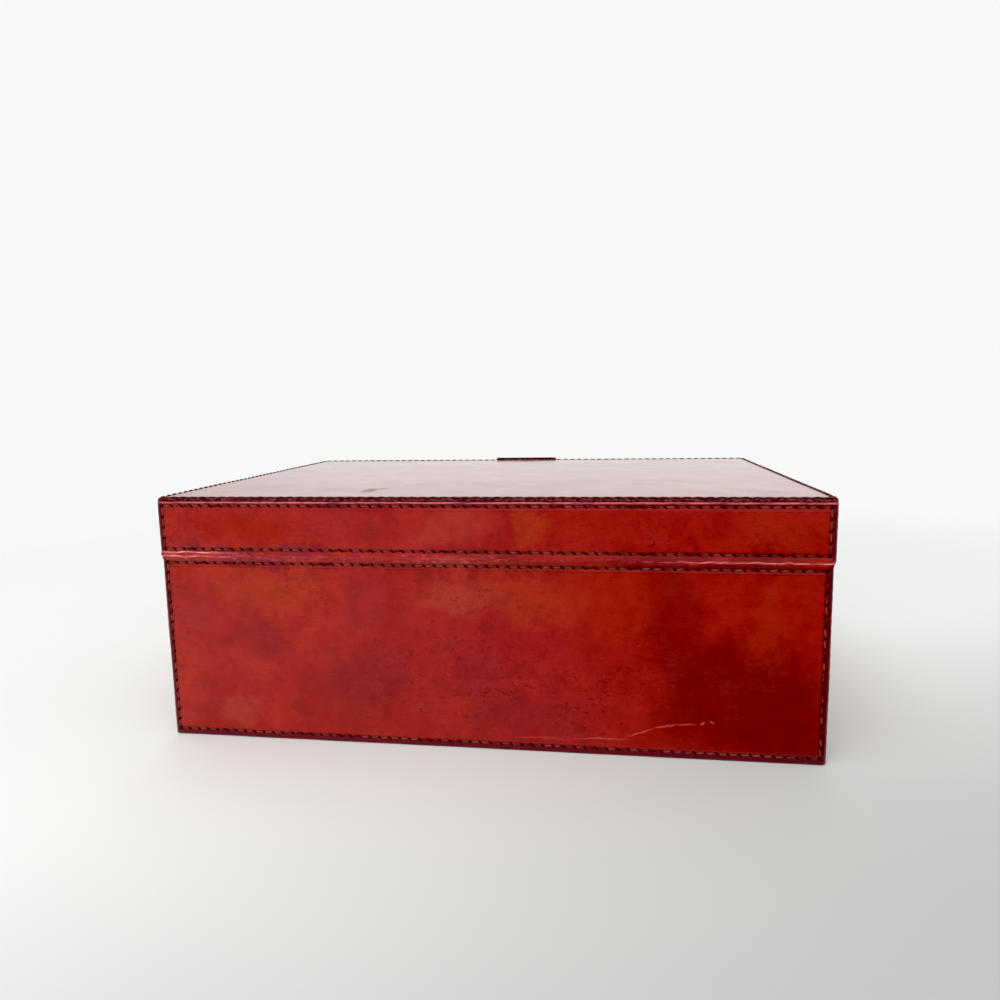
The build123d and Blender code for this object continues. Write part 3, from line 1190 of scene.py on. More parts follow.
@dataclass
class Stitching:
    """Collects the stitches of every panel and makes one piece of thread for each body.

    The unit stitch of the tree reaches a share of a metre to each side, and is shrunk to its length
    before the thread is swept along it.
    """

    thread: Material
    thread_radius: float = 0.46
    rise: float = 0.22
    sink: float = 0.9
    reach: float = 0.47
    shoulder: float = 0.85
    slant: float = 7.0
    jitter: float = 0.09
    seed: int = 7
    steps: int = 8
    sides: int = 6
    stitches: dict[Body, list[tuple]] = field(default_factory=dict)

    def add(self, body: Body, place: np.ndarray, along: np.ndarray, out: np.ndarray, length: float) -> None:
        """Adds one stitch: its middle, the way along it, the way out of the hide and its length."""
        self.stitches.setdefault(body, []).append((place, along, out, length))

    def tree(self) -> bpy.types.NodeTree:
        """Makes the Geometry Nodes tree that lays a bent piece of thread at every point.

        Returns:
            The tree.
        """
        tree = bpy.data.node_groups.new("thread_stitches", "GeometryNodeTree")
        face = tree.interface
        face.new_socket("Geometry", in_out="INPUT", socket_type="NodeSocketGeometry")
        for name, value in (("Thread Radius", self.thread_radius * MM), ("Rise", self.rise * MM),
                            ("Sink", self.sink * MM), ("Slant", math.radians(self.slant)),
                            ("Jitter", self.jitter)):
            face.new_socket(name, in_out="INPUT", socket_type="NodeSocketFloat").default_value = value
        face.new_socket("Seed", in_out="INPUT", socket_type="NodeSocketInt").default_value = self.seed
        face.new_socket("Thread", in_out="INPUT", socket_type="NodeSocketMaterial")
        face.new_socket("Geometry", in_out="OUTPUT", socket_type="NodeSocketGeometry")

        def add(kind: str, inputs: dict | None = None, **settings: object) -> bpy.types.NodeOutputs:
            """Adds a node as in add_node and returns its outputs."""
            return add_node(tree, kind, inputs, **settings).outputs

        def vector(x: object, y: object, z: object) -> Socket:
            """Returns a vector of three values or sockets."""
            return add("ShaderNodeCombineXYZ", {0: x, 1: y, 2: z})[0]

        def minus(value: Socket) -> Socket:
            """Returns a value with its sign changed."""
            return add("ShaderNodeMath", {0: value, 1: -1}, operation="MULTIPLY")[0]

        def stored(name: str, kind: str) -> Socket:
            """Returns an attribute of the points."""
            return add("GeometryNodeInputNamedAttribute", {0: name}, data_type=kind)[0]

        given = add("NodeGroupInput")
        sunk, handle = minus(given["Sink"]), self.reach * self.shoulder
        curve = add("GeometryNodeCurvePrimitiveBezierSegment", {
            "Resolution": self.steps, "Start": vector(-self.reach, 0, sunk),
            "Start Handle": vector(-handle, 0, given["Rise"]), "End Handle": vector(handle, 0, given["Rise"]),
            "End": vector(self.reach, 0, sunk),
        }, mode="POSITION")[0]
        section = add("GeometryNodeCurvePrimitiveCircle",
                      {"Resolution": self.sides, "Radius": given["Thread Radius"]})[0]
        shrunk = add("GeometryNodeTransform", {0: curve, "Scale": (STITCH * MM, 1, 1)})[0]
        thread = add("GeometryNodeCurveToMesh",
                     {"Curve": shrunk, "Profile Curve": section, "Fill Caps": True})[0]
        height = add("ShaderNodeSeparateXYZ", {0: add("GeometryNodeInputPosition")[0]})[2]
        # The crown marks the top of each stitch, where the thread's finish paints its highlight
        crown = add("ShaderNodeMapRange", {0: height, 1: 0.0, 2: given["Rise"]})[0]
        marked = add("GeometryNodeStoreNamedAttribute", {"Geometry": thread, "Name": "crown", "Value": crown},
                     data_type="FLOAT", domain="POINT")[0]
        aim = add("FunctionNodeAxesToRotation", {0: stored("outward", "FLOAT_VECTOR"),
                                                 1: stored("way", "FLOAT_VECTOR")},
                  primary_axis="Z", secondary_axis="X")[0]
        loose = add("FunctionNodeRandomValue", {2: minus(given["Jitter"]), 3: given["Jitter"],
                                                "Seed": given["Seed"]}, data_type="FLOAT")[1]
        lean = add("ShaderNodeMath", {0: given["Slant"], 1: loose}, operation="ADD")[0]
        spin = add("FunctionNodeEulerToRotation", {0: vector(0, 0, lean)})[0]
        turn = add("FunctionNodeRotateRotation", {0: aim, 1: spin}, rotation_space="LOCAL")[0]
        dots = add("GeometryNodeMeshToPoints", {0: given["Geometry"]})[0]
        laid = add("GeometryNodeInstanceOnPoints", {
            "Points": dots, "Instance": marked, "Rotation": turn,
            "Scale": vector(stored("stitch_length", "FLOAT"), 1, 1),
        })[0]
        real = add("GeometryNodeRealizeInstances", {0: laid})[0]
        smooth = add("GeometryNodeSetShadeSmooth", {0: real})[0]
        waxed = add("GeometryNodeSetMaterial", {"Geometry": smooth, "Material": given["Thread"]})[0]
        add("NodeGroupOutput", {0: waxed})
        return tree

    def build(self) -> None:
        """Makes the thread of each body and lets it ride on the body."""
        tree = self.tree()
        thread_input = next(i.identifier for i in tree.interface.items_tree
                            if i.name == "Thread" and i.in_out == "INPUT")
        for body, stitches in self.stitches.items():
            places, ways, outs, lengths = (np.array(part) for part in zip(*stitches))
            seeds = make_object("stitch_places", places, [], [],
                                {"way": ways, "outward": outs, "stitch_length": lengths / STITCH})
            modifier = seeds.modifiers.new("stitches", "NODES")
            modifier.node_group = tree
            modifier[thread_input] = self.thread
            graph = bpy.context.evaluated_depsgraph_get()
            mesh = bpy.data.meshes.new_from_object(seeds.evaluated_get(graph))
            bpy.data.objects.remove(seeds)
            piece = bpy.data.objects.new(f"{body.value}_stitches", mesh)
            bpy.context.scene.collection.objects.link(piece)
            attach(piece, body.value)
            LOG.info("%s: %d stitches", piece.name, len(stitches))


@dataclass(frozen=True)
class Band:
    """The strip of the rear hide that bends between base and lid, creased by use, with painted highlights
    along its creases and folds and some real wear.

    Heights are above the floor. The growth is how much further the lid reaches to each side than the
    base. A crease is its height, depth and half-width.
    """

    low: float
    high: float
    growth: float
    seed: int
    bulge: float = 0.62
    fullness: float = 0.8
    creases: tuple[tuple[float, float, float], ...] = (
        (86.9, 0.42, 0.45), (88.7, 0.2, 0.4), (85.9, 0.14, 0.3), (89.7, 0.12, 0.3),
    )
    main_crease: float = 87.6
    main_half_width: float = 0.26
    upper_fold: float = 89.3
    lower_fold: float = 87.5
    fold_half_width: float = 0.3
    haze_half_width: float = 2.2
    strong: float = 1.9
    right_end: Span = (-62, -105)
    left_end: Span = (104, 134)
    left_part: Span = (20, 110)
    middle: float = 12.0
    middle_half_length: float = 22.0

    def shape(self, along: np.ndarray, height: np.ndarray) -> np.ndarray:
        """Returns how far the band stands out of the flat hide: a bulge with creases along it.

        Args:
            along: Places along the panel.
            height: Heights above the floor.

        Returns:
            The distance at each place, in millimetres.
        """
        share = np.clip((height - self.low) / (self.high - self.low), 0, 1)
        total = self.bulge * np.sin(share * math.pi) ** self.fullness
        drift = ripple(along, along * 0, 0.5, 120, self.seed + 5)
        for crease, depth, width in self.creases:
            strength = 0.7 + 0.6 * ripple(along, along * 0 + crease, 1.0, 90, self.seed + int(crease * 10))
            total = total - depth * strength * bell(height - crease - drift, width)
        return total * ((height > self.low) & (height < self.high))

    def highlight_and_wear(self, along: np.ndarray, x: np.ndarray, height: np.ndarray) -> np.ndarray:
        """Returns the band's painted highlights and wear: sharp lines on its creases towards -x and on its
        folds towards +x, over a soft pink along the main crease, worn in the middle and lighter towards +x.

        Args:
            along: Places along the panel.
            x: The same places in the box's own x.
            height: Heights above the floor.

        Returns:
            The share at each place, over 1 where it is palest.
        """
        wander = ripple(along, along * 0, 0.34, 13, self.seed + 8)
        crease = bell(height - self.main_crease - wander, self.main_half_width)
        crease = crease * (0.1 + self.strong * smoothstep(*self.right_end, x))
        folds = (bell(height - self.upper_fold + wander, self.fold_half_width)
                 + bell(height - self.lower_fold - wander, self.fold_half_width))
        folds = folds * smoothstep(*self.left_end, x) * self.strong
        haze = 0.12 + 0.3 * bell(x - self.middle, self.middle_half_length)
        haze = haze + 0.2 * smoothstep(*self.left_part, x)
        return crease + folds + bell(height - self.main_crease, self.haze_half_width) * haze


@dataclass
class HidePanel:
    """One side of the box in hide, mitred to its neighbours round a small corner.

    The profile runs up the outside of the wall and, where the edge is turned in, over its rim.
    """

    name: str
    side: Side
    low: float
    high: float
    half_length: float
    middle: np.ndarray
    seams: tuple[Seam, ...]
    seed: int
    thickness: float = 1.8
    corner: float = 1.8
    turned: Rim = Rim.NONE
    turned_depth: float = 8.0
    turned_thickness: float = 1.2
    turned_end: float = 0.6
    turn_radius: float = 1.3
    edge_radius: float = 0.7
    top_edge_radius: float = 0.7
    band: Band | None = None
    border_width: float = 2.8
    border_fade: float = 0.7
    upper_border_cut: float = 0.0
    column_step: float = 0.94
    arc_points: int = 5
    fine_rows: int = 7
    mitre_dip: float = 0.2
    mitre_dip_width: float = 0.8
    # The painted highlight along the rounded upper edge: its strength and half-width
    edge_highlight: float = 1.7
    edge_highlight_half_width: float = 0.32

    @property
    def straight(self) -> float:
        """Half the length of the panel between its corners."""
        return self.half_length - self.corner

    @property
    def mitre(self) -> float:
        """The distance along the outside from the middle to the mitre, round half of the corner."""
        return self.half_length - self.corner + self.corner * math.pi / 4

    def outer_profile(self) -> tuple[np.ndarray, np.ndarray]:
        """Returns the profile of the outside.

        Returns:
            Its points and outward normals, as depth into the wall and height.
        """
        quarter = np.linspace(0, math.pi / 2, self.arc_points)
        lines = [seam.start[1] for seam in self.seams if seam.level]
        low_radius = self.turn_radius if self.turned is Rim.LOWER else self.edge_radius
        high_radius = self.turn_radius if self.turned is Rim.UPPER else self.top_edge_radius
        extra = list(np.linspace(self.band.low, self.band.high, self.fine_rows)) if self.band else []
        flat = stations(self.low + low_radius, self.high - high_radius, self.column_step, lines + extra)
        bottom = [(low_radius * (1 - math.sin(a)), self.low + low_radius * (1 - math.cos(a)),
                   -math.sin(a), -math.cos(a)) for a in quarter[:-1]]
        top = [(high_radius * (1 - math.cos(a)), self.high - high_radius * (1 - math.sin(a)),
                -math.cos(a), math.sin(a)) for a in quarter[1:]]
        rows = bottom + [(0.0, z, -1.0, 0.0) for z in flat] + top
        inner, end = self.turned_depth, self.turned_end
        turned = [(d, self.high, 0.0, 1.0) for d in np.linspace(high_radius, inner - end, self.fine_rows)[1:]]
        turned += [(inner - end * (1 - math.sin(a)), self.high - end * (1 - math.cos(a)),
                    math.sin(a), math.cos(a)) for a in quarter[1:]]
        if self.turned is Rim.UPPER:
            rows += turned
        if self.turned is Rim.LOWER:
            rows = [(d, self.low + self.high - z, p, -q) for d, z, p, q in turned][::-1] + rows
        rows = np.array(rows)
        return rows[:, :2], rows[:, 2:]

    def inner_profile(self, outer: np.ndarray) -> np.ndarray:
        """Returns the back of the hide.

        Args:
            outer: The points of the outer profile.

        Returns:
            One point for each of them.
        """
        wall, thin = self.thickness, self.turned_thickness
        corners = [(wall, self.low), (wall, self.high)]
        if self.turned is Rim.UPPER:
            corners = [(wall, self.low), (wall, self.high - thin), (self.turned_depth, self.high - thin)]
        if self.turned is Rim.LOWER:
            corners = [(self.turned_depth, self.low + thin), (wall, self.low + thin), (wall, self.high)]
        corners = np.array(corners)
        runs = np.concatenate([[0], np.cumsum(np.hypot(*np.diff(corners, axis=0).T))])
        travelled = np.concatenate([[0], np.cumsum(np.hypot(*np.diff(outer, axis=0).T))])
        share = travelled / travelled[-1] * runs[-1]
        return np.stack([np.interp(share, runs, corners[:, k]) for k in range(2)], -1)

    def columns(self) -> np.ndarray:
        """Returns the places along the side, from mitre to mitre round the corners."""
        upright = [seam.start[0] for seam in self.seams if not seam.level]
        return stations(-self.mitre, self.mitre, self.column_step,
                        [*upright, -self.mitre + 0.5, self.mitre - 0.5], 0.8)

    def place(self, along: np.ndarray, depth: np.ndarray, height: np.ndarray) -> np.ndarray:
        """Turns places on the panel into points.

        Args:
            along: Distance along the outside from the middle.
            depth: Depth into the wall.
            height: Height above the floor.

        Returns:
            The points in the box's frame, in millimetres.
        """
        half = self.half_length
        if self.band:
            half = half + self.band.growth * smoothstep(self.band.low, self.band.high, height)
        start = half - self.corner
        reach = np.sign(along) * np.minimum(np.abs(along), self.straight)
        turn = np.clip(np.abs(along) - self.straight, 0, None) / self.corner
        radius = np.maximum(self.corner - depth, 0)
        round_along = reach * start / self.straight + np.sign(along) * radius * np.sin(turn)
        round_depth = self.corner - radius * np.cos(turn)
        square_along = along * (half - depth) / self.mitre
        share = np.clip(depth / self.corner, 0, 1)
        flat_along = round_along * (1 - share) + square_along * share
        flat_depth = np.where(depth < self.corner, round_depth * (1 - share) + depth * share, depth)
        points = self.middle + flat_along[..., None] * self.side.along - flat_depth[..., None] * self.side.out
        points[..., 2] = np.broadcast_to(height, flat_along.shape)
        return points

    def highlight_and_wear(self, along: np.ndarray, height: np.ndarray) -> np.ndarray:
        """Returns the hide's painted highlight along its rounded upper edge, and the band's painted
        highlights and wear.

        Args:
            along: Places along the panel.
            height: Heights above the floor.

        Returns:
            The rubbing at each place.
        """
        if self.turned is Rim.UPPER:
            return 0.0 * height
        upper_edge = self.edge_highlight * bell(height - self.high + 0.5, self.edge_highlight_half_width)
        if not self.band:
            return upper_edge
        return np.clip(upper_edge, 0, 1) + self.band.highlight_and_wear(along, self.side.along[0] * along, height)

    def build(self, material: Material) -> bpy.types.Object:
        """Builds the panel.

        Args:
            material: The hide's finish.

        Returns:
            The closed mesh object.
        """
        outer, normals = self.outer_profile()
        along = self.columns()[:, None]
        inner_depth, inner_height = self.inner_profile(outer).T[:, None, :] + 0 * along[None]
        height = outer[None, :, 1]
        flat = np.clip(-normals[None, :, 0], 0, 1)
        relief = StitchedRelief(self.seams, self.seed)
        rise = relief.height(along, height) * flat
        if self.band:
            rise = rise + self.band.shape(along, height)
        rise = rise - self.mitre_dip * (1 - smoothstep(0, self.mitre_dip_width, self.mitre - np.abs(along)))
        depth = outer[None, :, 0] + rise * normals[None, :, 0]
        lifted = height + rise * normals[None, :, 1]
        front = self.place(along + 0 * depth, depth, lifted)
        back = self.place(along + 0 * inner_depth, inner_depth, inner_height)
        points = np.concatenate([front.reshape(-1, 3), back_ring(back)])
        rows = relief.rows(along, height)
        for values in rows.values():
            values[..., 2] *= flat > 0.9
        edges = np.minimum(self.half_length - np.abs(along),
                           np.minimum(height - self.low, self.high - height + self.upper_border_cut))
        near_edge = 1 - smoothstep(self.border_width - self.border_fade, self.border_width, edges)
        on_rim = smoothstep(1.5, 3.5, outer[None, :, 0])
        border = near_edge * (1 - 0.75 * on_rim)
        # Painted highlights, with some real wear on the band, that the hide's finish reads
        rubbed = self.highlight_and_wear(along, height) + 0 * depth
        count = len(points)
        return make_object(self.name, points, slab_faces(*front.shape[:2]), [material], {
            **relief.attributes(count, rows), "border": with_back(border, count),
            "rubbed": with_back(rubbed, count)})

    def stitch(self, stitching: Stitching) -> None:
        """Lays the panel's stitches in its grooves.

        Args:
            stitching: Where the stitches go.
        """
        relief = StitchedRelief(self.seams, self.seed)
        for seam in self.seams:
            for middle, way in seam.stitches():
                along, height = middle.reshape(2, 1, 1)
                point = self.place(along, -relief.height(along, height), height)[0, 0]
                stitching.add(seam.body, point, way[0] * self.side.along + way[1] * UP, self.side.out,
                              seam.length / seam.count)


def frame_of_seams(half: float, low: float, high: float, inset: float, top_inset: float,
                   body: Body) -> tuple[Seam, ...]:
    """Returns four rows round a side panel, at an inset from its ends and bottom and one from its top."""
    end, bottom, top = half - inset, low + inset, high - top_inset
    return (Seam((-end, bottom), (end, bottom), body), Seam((-end, top), (end, top), body),
            Seam((-end, bottom), (-end, top), body), Seam((end, bottom), (end, top), body))


@dataclass
class TopHide:
    """The thick hide on top of the lid, with a dark waxed edge."""

    low: np.ndarray
    high: np.ndarray
    edge: float = 0.4
    round_over: float = 1.3
    corner: float = 2.4
    inset: float = 1.7
    border: Span = (1.1, 1.7)
    stretch: float = 1.1
    step: float = 1.17
    seed: int = 31
    wave_height: float = 0.09
    face_drop: float = 0.15
    thread_lift: float = 0.15
    edge_slope: float = 0.75

    def seams(self) -> tuple[Seam, ...]:
        """Returns the front, rear, left and right row of the top, in the box's own x and y."""
        (left, front), (right, rear) = self.low[:2] + self.inset, self.high[:2] - self.inset
        return (Seam((left, front), (right, front), Body.LID), Seam((left, rear), (right, rear), Body.LID),
                Seam((left, front), (left, rear), Body.LID), Seam((right, front), (right, rear), Body.LID))

    def grid(self) -> tuple[np.ndarray, np.ndarray]:
        """Returns the x and y of the face's points, closer together at the rows and the rim.

        Returns:
            Both, as grids.
        """
        spans = []
        for axis in range(2):
            first, last = self.low[axis] + self.edge, self.high[axis] - self.edge
            lines = [self.low[axis] + self.inset, self.high[axis] - self.inset]
            curl = [first + 0.15, first + 0.4, last - 0.4, last - 0.15]
            spans.append(np.unique(np.concatenate([stations(first, last, self.step, lines, 0.8), curl])))
        return spans[0][:, None] + 0 * spans[1][None, :], spans[1][None, :] + 0 * spans[0][:, None]

    def build(self, hide: Material, edge: Material, stitching: Stitching) -> bpy.types.Object:
        """Builds the top and lays its stitches.

        Args:
            hide: The finish of the face.
            edge: The finish of the cut edge.
            stitching: Where the stitches go.

        Returns:
            The closed mesh object.
        """
        relief = StitchedRelief(self.seams(), self.seed, wave_height=self.wave_height)
        x, y = self.grid()
        inward = np.minimum.reduce([x - self.low[0] - self.edge, self.high[0] - self.edge - x,
                                    y - self.low[1] - self.edge, self.high[1] - self.edge - y])
        curl_in = np.clip(self.round_over - inward, 0, self.round_over)
        drop = self.round_over - np.sqrt(self.round_over**2 - curl_in**2)
        z = self.high[2] - self.face_drop + relief.height(x, y) * smoothstep(0, 1.2, inward) - drop
        x, y = self.round_corners(x, y)
        front = np.stack([x, y, z], -1)
        back = np.stack([x, y, self.low[2] + 0 * z], -1)
        points = np.concatenate([front.reshape(-1, 3), back_ring(back)])
        border_in, border_out = (self.inset + part for part in self.border)
        border = 1 - smoothstep(border_in, border_out, inward + self.edge)
        piece = make_object("lid_top_hide", points, slab_faces(*x.shape), [hide, edge],
                            {**StitchedRelief.attributes(len(points), relief.rows(x, y)),
                             "border": with_back(border, len(points), 1.0),
                             "foot": with_back(0 * x, len(points), 1.0)}, sharp_over=60)
        for face in piece.data.polygons:
            face.material_index = 1 if abs(face.normal.z) < self.edge_slope else 0
        self.stitch(relief, stitching)
        return piece

    def stitch(self, relief: StitchedRelief, stitching: Stitching) -> None:
        """Lays the top's stitches.

        Args:
            relief: The surface that they lie on.
            stitching: Where the stitches go.
        """
        for seam in relief.seams:
            for middle, way in seam.stitches():
                level = self.high[2] + self.thread_lift + relief.height(*middle.reshape(2, 1, 1))[0, 0]
                stitching.add(Body.LID, np.array([*middle, level]), np.array([*way, 0]), UP,
                              seam.length / seam.count * self.stretch)

    def round_corners(self, x: np.ndarray, y: np.ndarray) -> tuple[np.ndarray, np.ndarray]:
        """Returns the grid with its four corners drawn in to a radius.

        Args:
            x: The x of its points.
            y: The y of its points.

        Returns:
            Both, drawn in.
        """
        past = []
        for axis, value in enumerate((x, y)):
            near = self.low[axis] + self.edge + self.corner
            far = self.high[axis] - self.edge - self.corner
            past.append(np.where(value > far, value - far, np.where(value < near, value - near, 0)))
        return rounded(x, y, *past)


@dataclass
class Strap:
    """A flat leather strap: a rounded rectangle on a plane, with soft edges and rows of stitches."""

    name: str
    side: Side
    centre: float
    width: float
    low: float
    high: float
    face: float
    back: float
    low_corner: float
    high_corner: float
    seed: int
    edge_radius: float = 0.7
    step: float = 0.9
    paths: tuple[SeamPath, ...] = ()
    rim: tuple[float, ...] = (0.1, 0.25, 0.45, 0.7)
    wave_height: float = 0.08
    wave_length: float = 40.0
    groove_depth: float = 0.3
    groove_half_width: float = 0.75
    border: Span = (2.0, 2.7)
    back_border: float = 0.3
    edge_slope: float = 0.7

    @property
    def middle(self) -> np.ndarray:
        """The middle of the strap on the floor of the box's frame."""
        return np.array([self.centre, 0, 0]) if self.side.out[1] else np.array([0, self.centre, 0])

    def lay(self, u: np.ndarray, v: np.ndarray, level: np.ndarray) -> np.ndarray:
        """Returns the points at places across the strap, heights above the floor and distances outwards."""
        flat = self.middle + u[..., None] * self.side.along + level[..., None] * self.side.out
        return np.concatenate([flat[..., :2], v[..., None]], -1)

    def shape(self, u: np.ndarray, v: np.ndarray) -> tuple[np.ndarray, np.ndarray]:
        """Returns the grid drawn in round the corners of the strap.

        Args:
            u: Places across the strap.
            v: Heights above the floor.

        Returns:
            Both, drawn in.
        """
        half = self.width / 2
        for radius, low_end in ((self.low_corner, True), (self.high_corner, False)):
            if radius <= 0:
                continue
            edge_v = self.low + radius if low_end else self.high - radius
            past_v = np.minimum(v - edge_v, 0) if low_end else np.maximum(v - edge_v, 0)
            past_u = np.sign(u) * np.maximum(np.abs(u) - (half - radius), 0)
            u, v = rounded(u, v, past_u, past_v)
        return u, v

    def build(self, materials: list[Material]) -> bpy.types.Object:
        """Builds the strap.

        Args:
            materials: The finish of the face, and that of the edge and the back where it differs.

        Returns:
            The closed mesh object.
        """
        half = self.width / 2
        ends = [-half + r for r in self.rim] + [half - r for r in self.rim]
        tips = [self.low + r for r in self.rim] + [self.high - r for r in self.rim]
        u = np.unique(np.concatenate([stations(-half, half, self.step, []), ends]))
        v = np.unique(np.concatenate([stations(self.low, self.high, self.step, []), tips]))
        u, v = u[:, None] + 0 * v[None, :], v[None, :] + 0 * u[:, None]
        inward = np.minimum.reduce([half - np.abs(u), v - self.low, self.high - v])
        curl = np.clip(self.edge_radius - inward, 0, self.edge_radius)
        drop = self.edge_radius - np.sqrt(self.edge_radius**2 - curl**2)
        rise = ripple(u, v, self.wave_height, self.wave_length, self.seed) * smoothstep(0, 2, inward) - drop
        u, v = self.shape(u, v)
        rows = {name: StitchedRelief.no_rows(*u.shape) for name in ROWS}
        for name, path in zip(ROWS, self.paths):
            phase, off, beside = path.measure(u, v)
            rows[name] = np.where(beside[..., None] > 0, np.stack([phase, off, beside], -1), rows[name])
            rise = rise - self.groove_depth * bell(off, self.groove_half_width)
        front = self.lay(u, v, self.face + rise)
        back = self.lay(u, v, self.back + 0 * rise)
        points = np.concatenate([front.reshape(-1, 3), back_ring(back)])
        border = with_back(1 - smoothstep(*self.border, inward), len(points), self.back_border)
        piece = make_object(self.name, points, slab_faces(*u.shape), materials,
                            {**StitchedRelief.attributes(len(points), rows), "border": border}, sharp_over=60)
        if len(materials) > 1:
            for face in piece.data.polygons:
                face.material_index = 1 if face.normal @ Vector(self.side.out) < self.edge_slope else 0
        return piece

    def stitch(self, stitching: Stitching) -> None:
        """Lays the stitches along the strap's paths.

        Args:
            stitching: Where the stitches go.
        """
        for path in self.paths:
            for middle, way in path.stitches():
                point = self.lay(*middle, np.array(self.face - self.groove_depth))
                stitching.add(path.body, point, way[0] * self.side.along + way[1] * UP, self.side.out,
                              path.length / path.count)


@dataclass
class Pad:
    """A flat padded panel, swollen by a cloth simulation between its held edges."""

    name: str
    node: str
    body: Body
    pressure: float = 4.0
    cap: float = 1.6
    cell: float = 5.0
    fill: float = 0.5
    margin: float = 0.6
    frames: int = 20
    room: float = 0.05

    def build(self, material: Material) -> bpy.types.Object:
        """Builds the pad inside its node's box.

        Args:
            material: The pad's finish.

        Returns:
            The mesh object.
        """
        low, high = node_box(self.node)
        size = high - low
        margin = np.array([self.margin, self.margin, min(self.cap, size[2] * 0.3)])
        inner_low, inner_high = low + margin, high - margin
        counts = [max(4, round(size[k] / self.cell)) for k in range(2)]
        xs = np.linspace(inner_low[0], inner_high[0], counts[0] + 1)
        ys = np.linspace(inner_low[1], inner_high[1], counts[1] + 1)
        x, y = xs[:, None] + 0 * ys[None, :], ys[None, :] + 0 * xs[:, None]
        front = np.stack([x, y, inner_high[2] + 0 * x], -1)
        back = np.stack([x, y, inner_low[2] + 0 * x], -1)
        number = np.arange(x.size).reshape(x.shape)
        faces = []
        for grid, flip in ((number, False), (number + x.size, True)):
            quads = np.stack([grid[:-1, :-1], grid[1:, :-1], grid[1:, 1:], grid[:-1, 1:]], -1).reshape(-1, 4)
            faces += (quads[:, ::-1] if flip else quads).tolist()
        ring = [*number[:, 0], *number[-1, 1:], *number[-2::-1, -1], *number[0, -2:0:-1]]
        for a, b in zip(ring, ring[1:] + ring[:1]):
            faces.append([int(b), int(a), int(a) + x.size, int(b) + x.size])
        points = np.concatenate([front.reshape(-1, 3), back.reshape(-1, 3)])
        piece = make_object(self.name, points, faces, [material])
        self.swell(piece, [int(i) for i in ring] + [int(i) + x.size for i in ring], low, high)
        smooth = piece.modifiers.new("finer", "SUBSURF")
        smooth.levels = smooth.render_levels = 1
        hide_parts(self.node)
        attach(piece, self.body.value)
        return piece

    def swell(self, piece: bpy.types.Object, rim: list[int], low: np.ndarray, high: np.ndarray) -> None:
        """Swells the pad with a short cloth simulation and keeps it in its node's box.

        Args:
            piece: The pad.
            rim: The vertices that are held.
            low: The lowest corner of the box.
            high: Its highest corner.
        """
        held = piece.vertex_groups.new(name="held")
        held.add(rim, 1.0, "REPLACE")
        cloth = piece.modifiers.new("swell", "CLOTH")
        cloth.settings.vertex_group_mass = "held"
        cloth.settings.use_pressure = True
        cloth.settings.uniform_pressure_force = self.pressure
        cloth.settings.effector_weights.gravity = 0
        cloth.settings.quality = 5
        cloth.point_cache.frame_start, cloth.point_cache.frame_end = 1, self.frames
        scene = bpy.context.scene
        for moment in range(1, self.frames + 1):
            scene.frame_set(moment)
        graph = bpy.context.evaluated_depsgraph_get()
        swollen = np.array([v.co for v in piece.evaluated_get(graph).data.vertices]) / MM
        piece.modifiers.clear()
        scene.frame_set(1)
        rest = np.array([v.co for v in piece.data.vertices]) / MM
        moved = swollen - rest
        far = np.linalg.norm(moved, axis=1, keepdims=True)
        moved = moved * np.minimum(1, self.cap / np.maximum(far, 1e-9))
        kept = np.clip(rest + moved, low + self.room, high - self.room)
        piece.data.vertices.foreach_set("co", (kept * MM).astype(np.float32).ravel())
        piece.data.update()


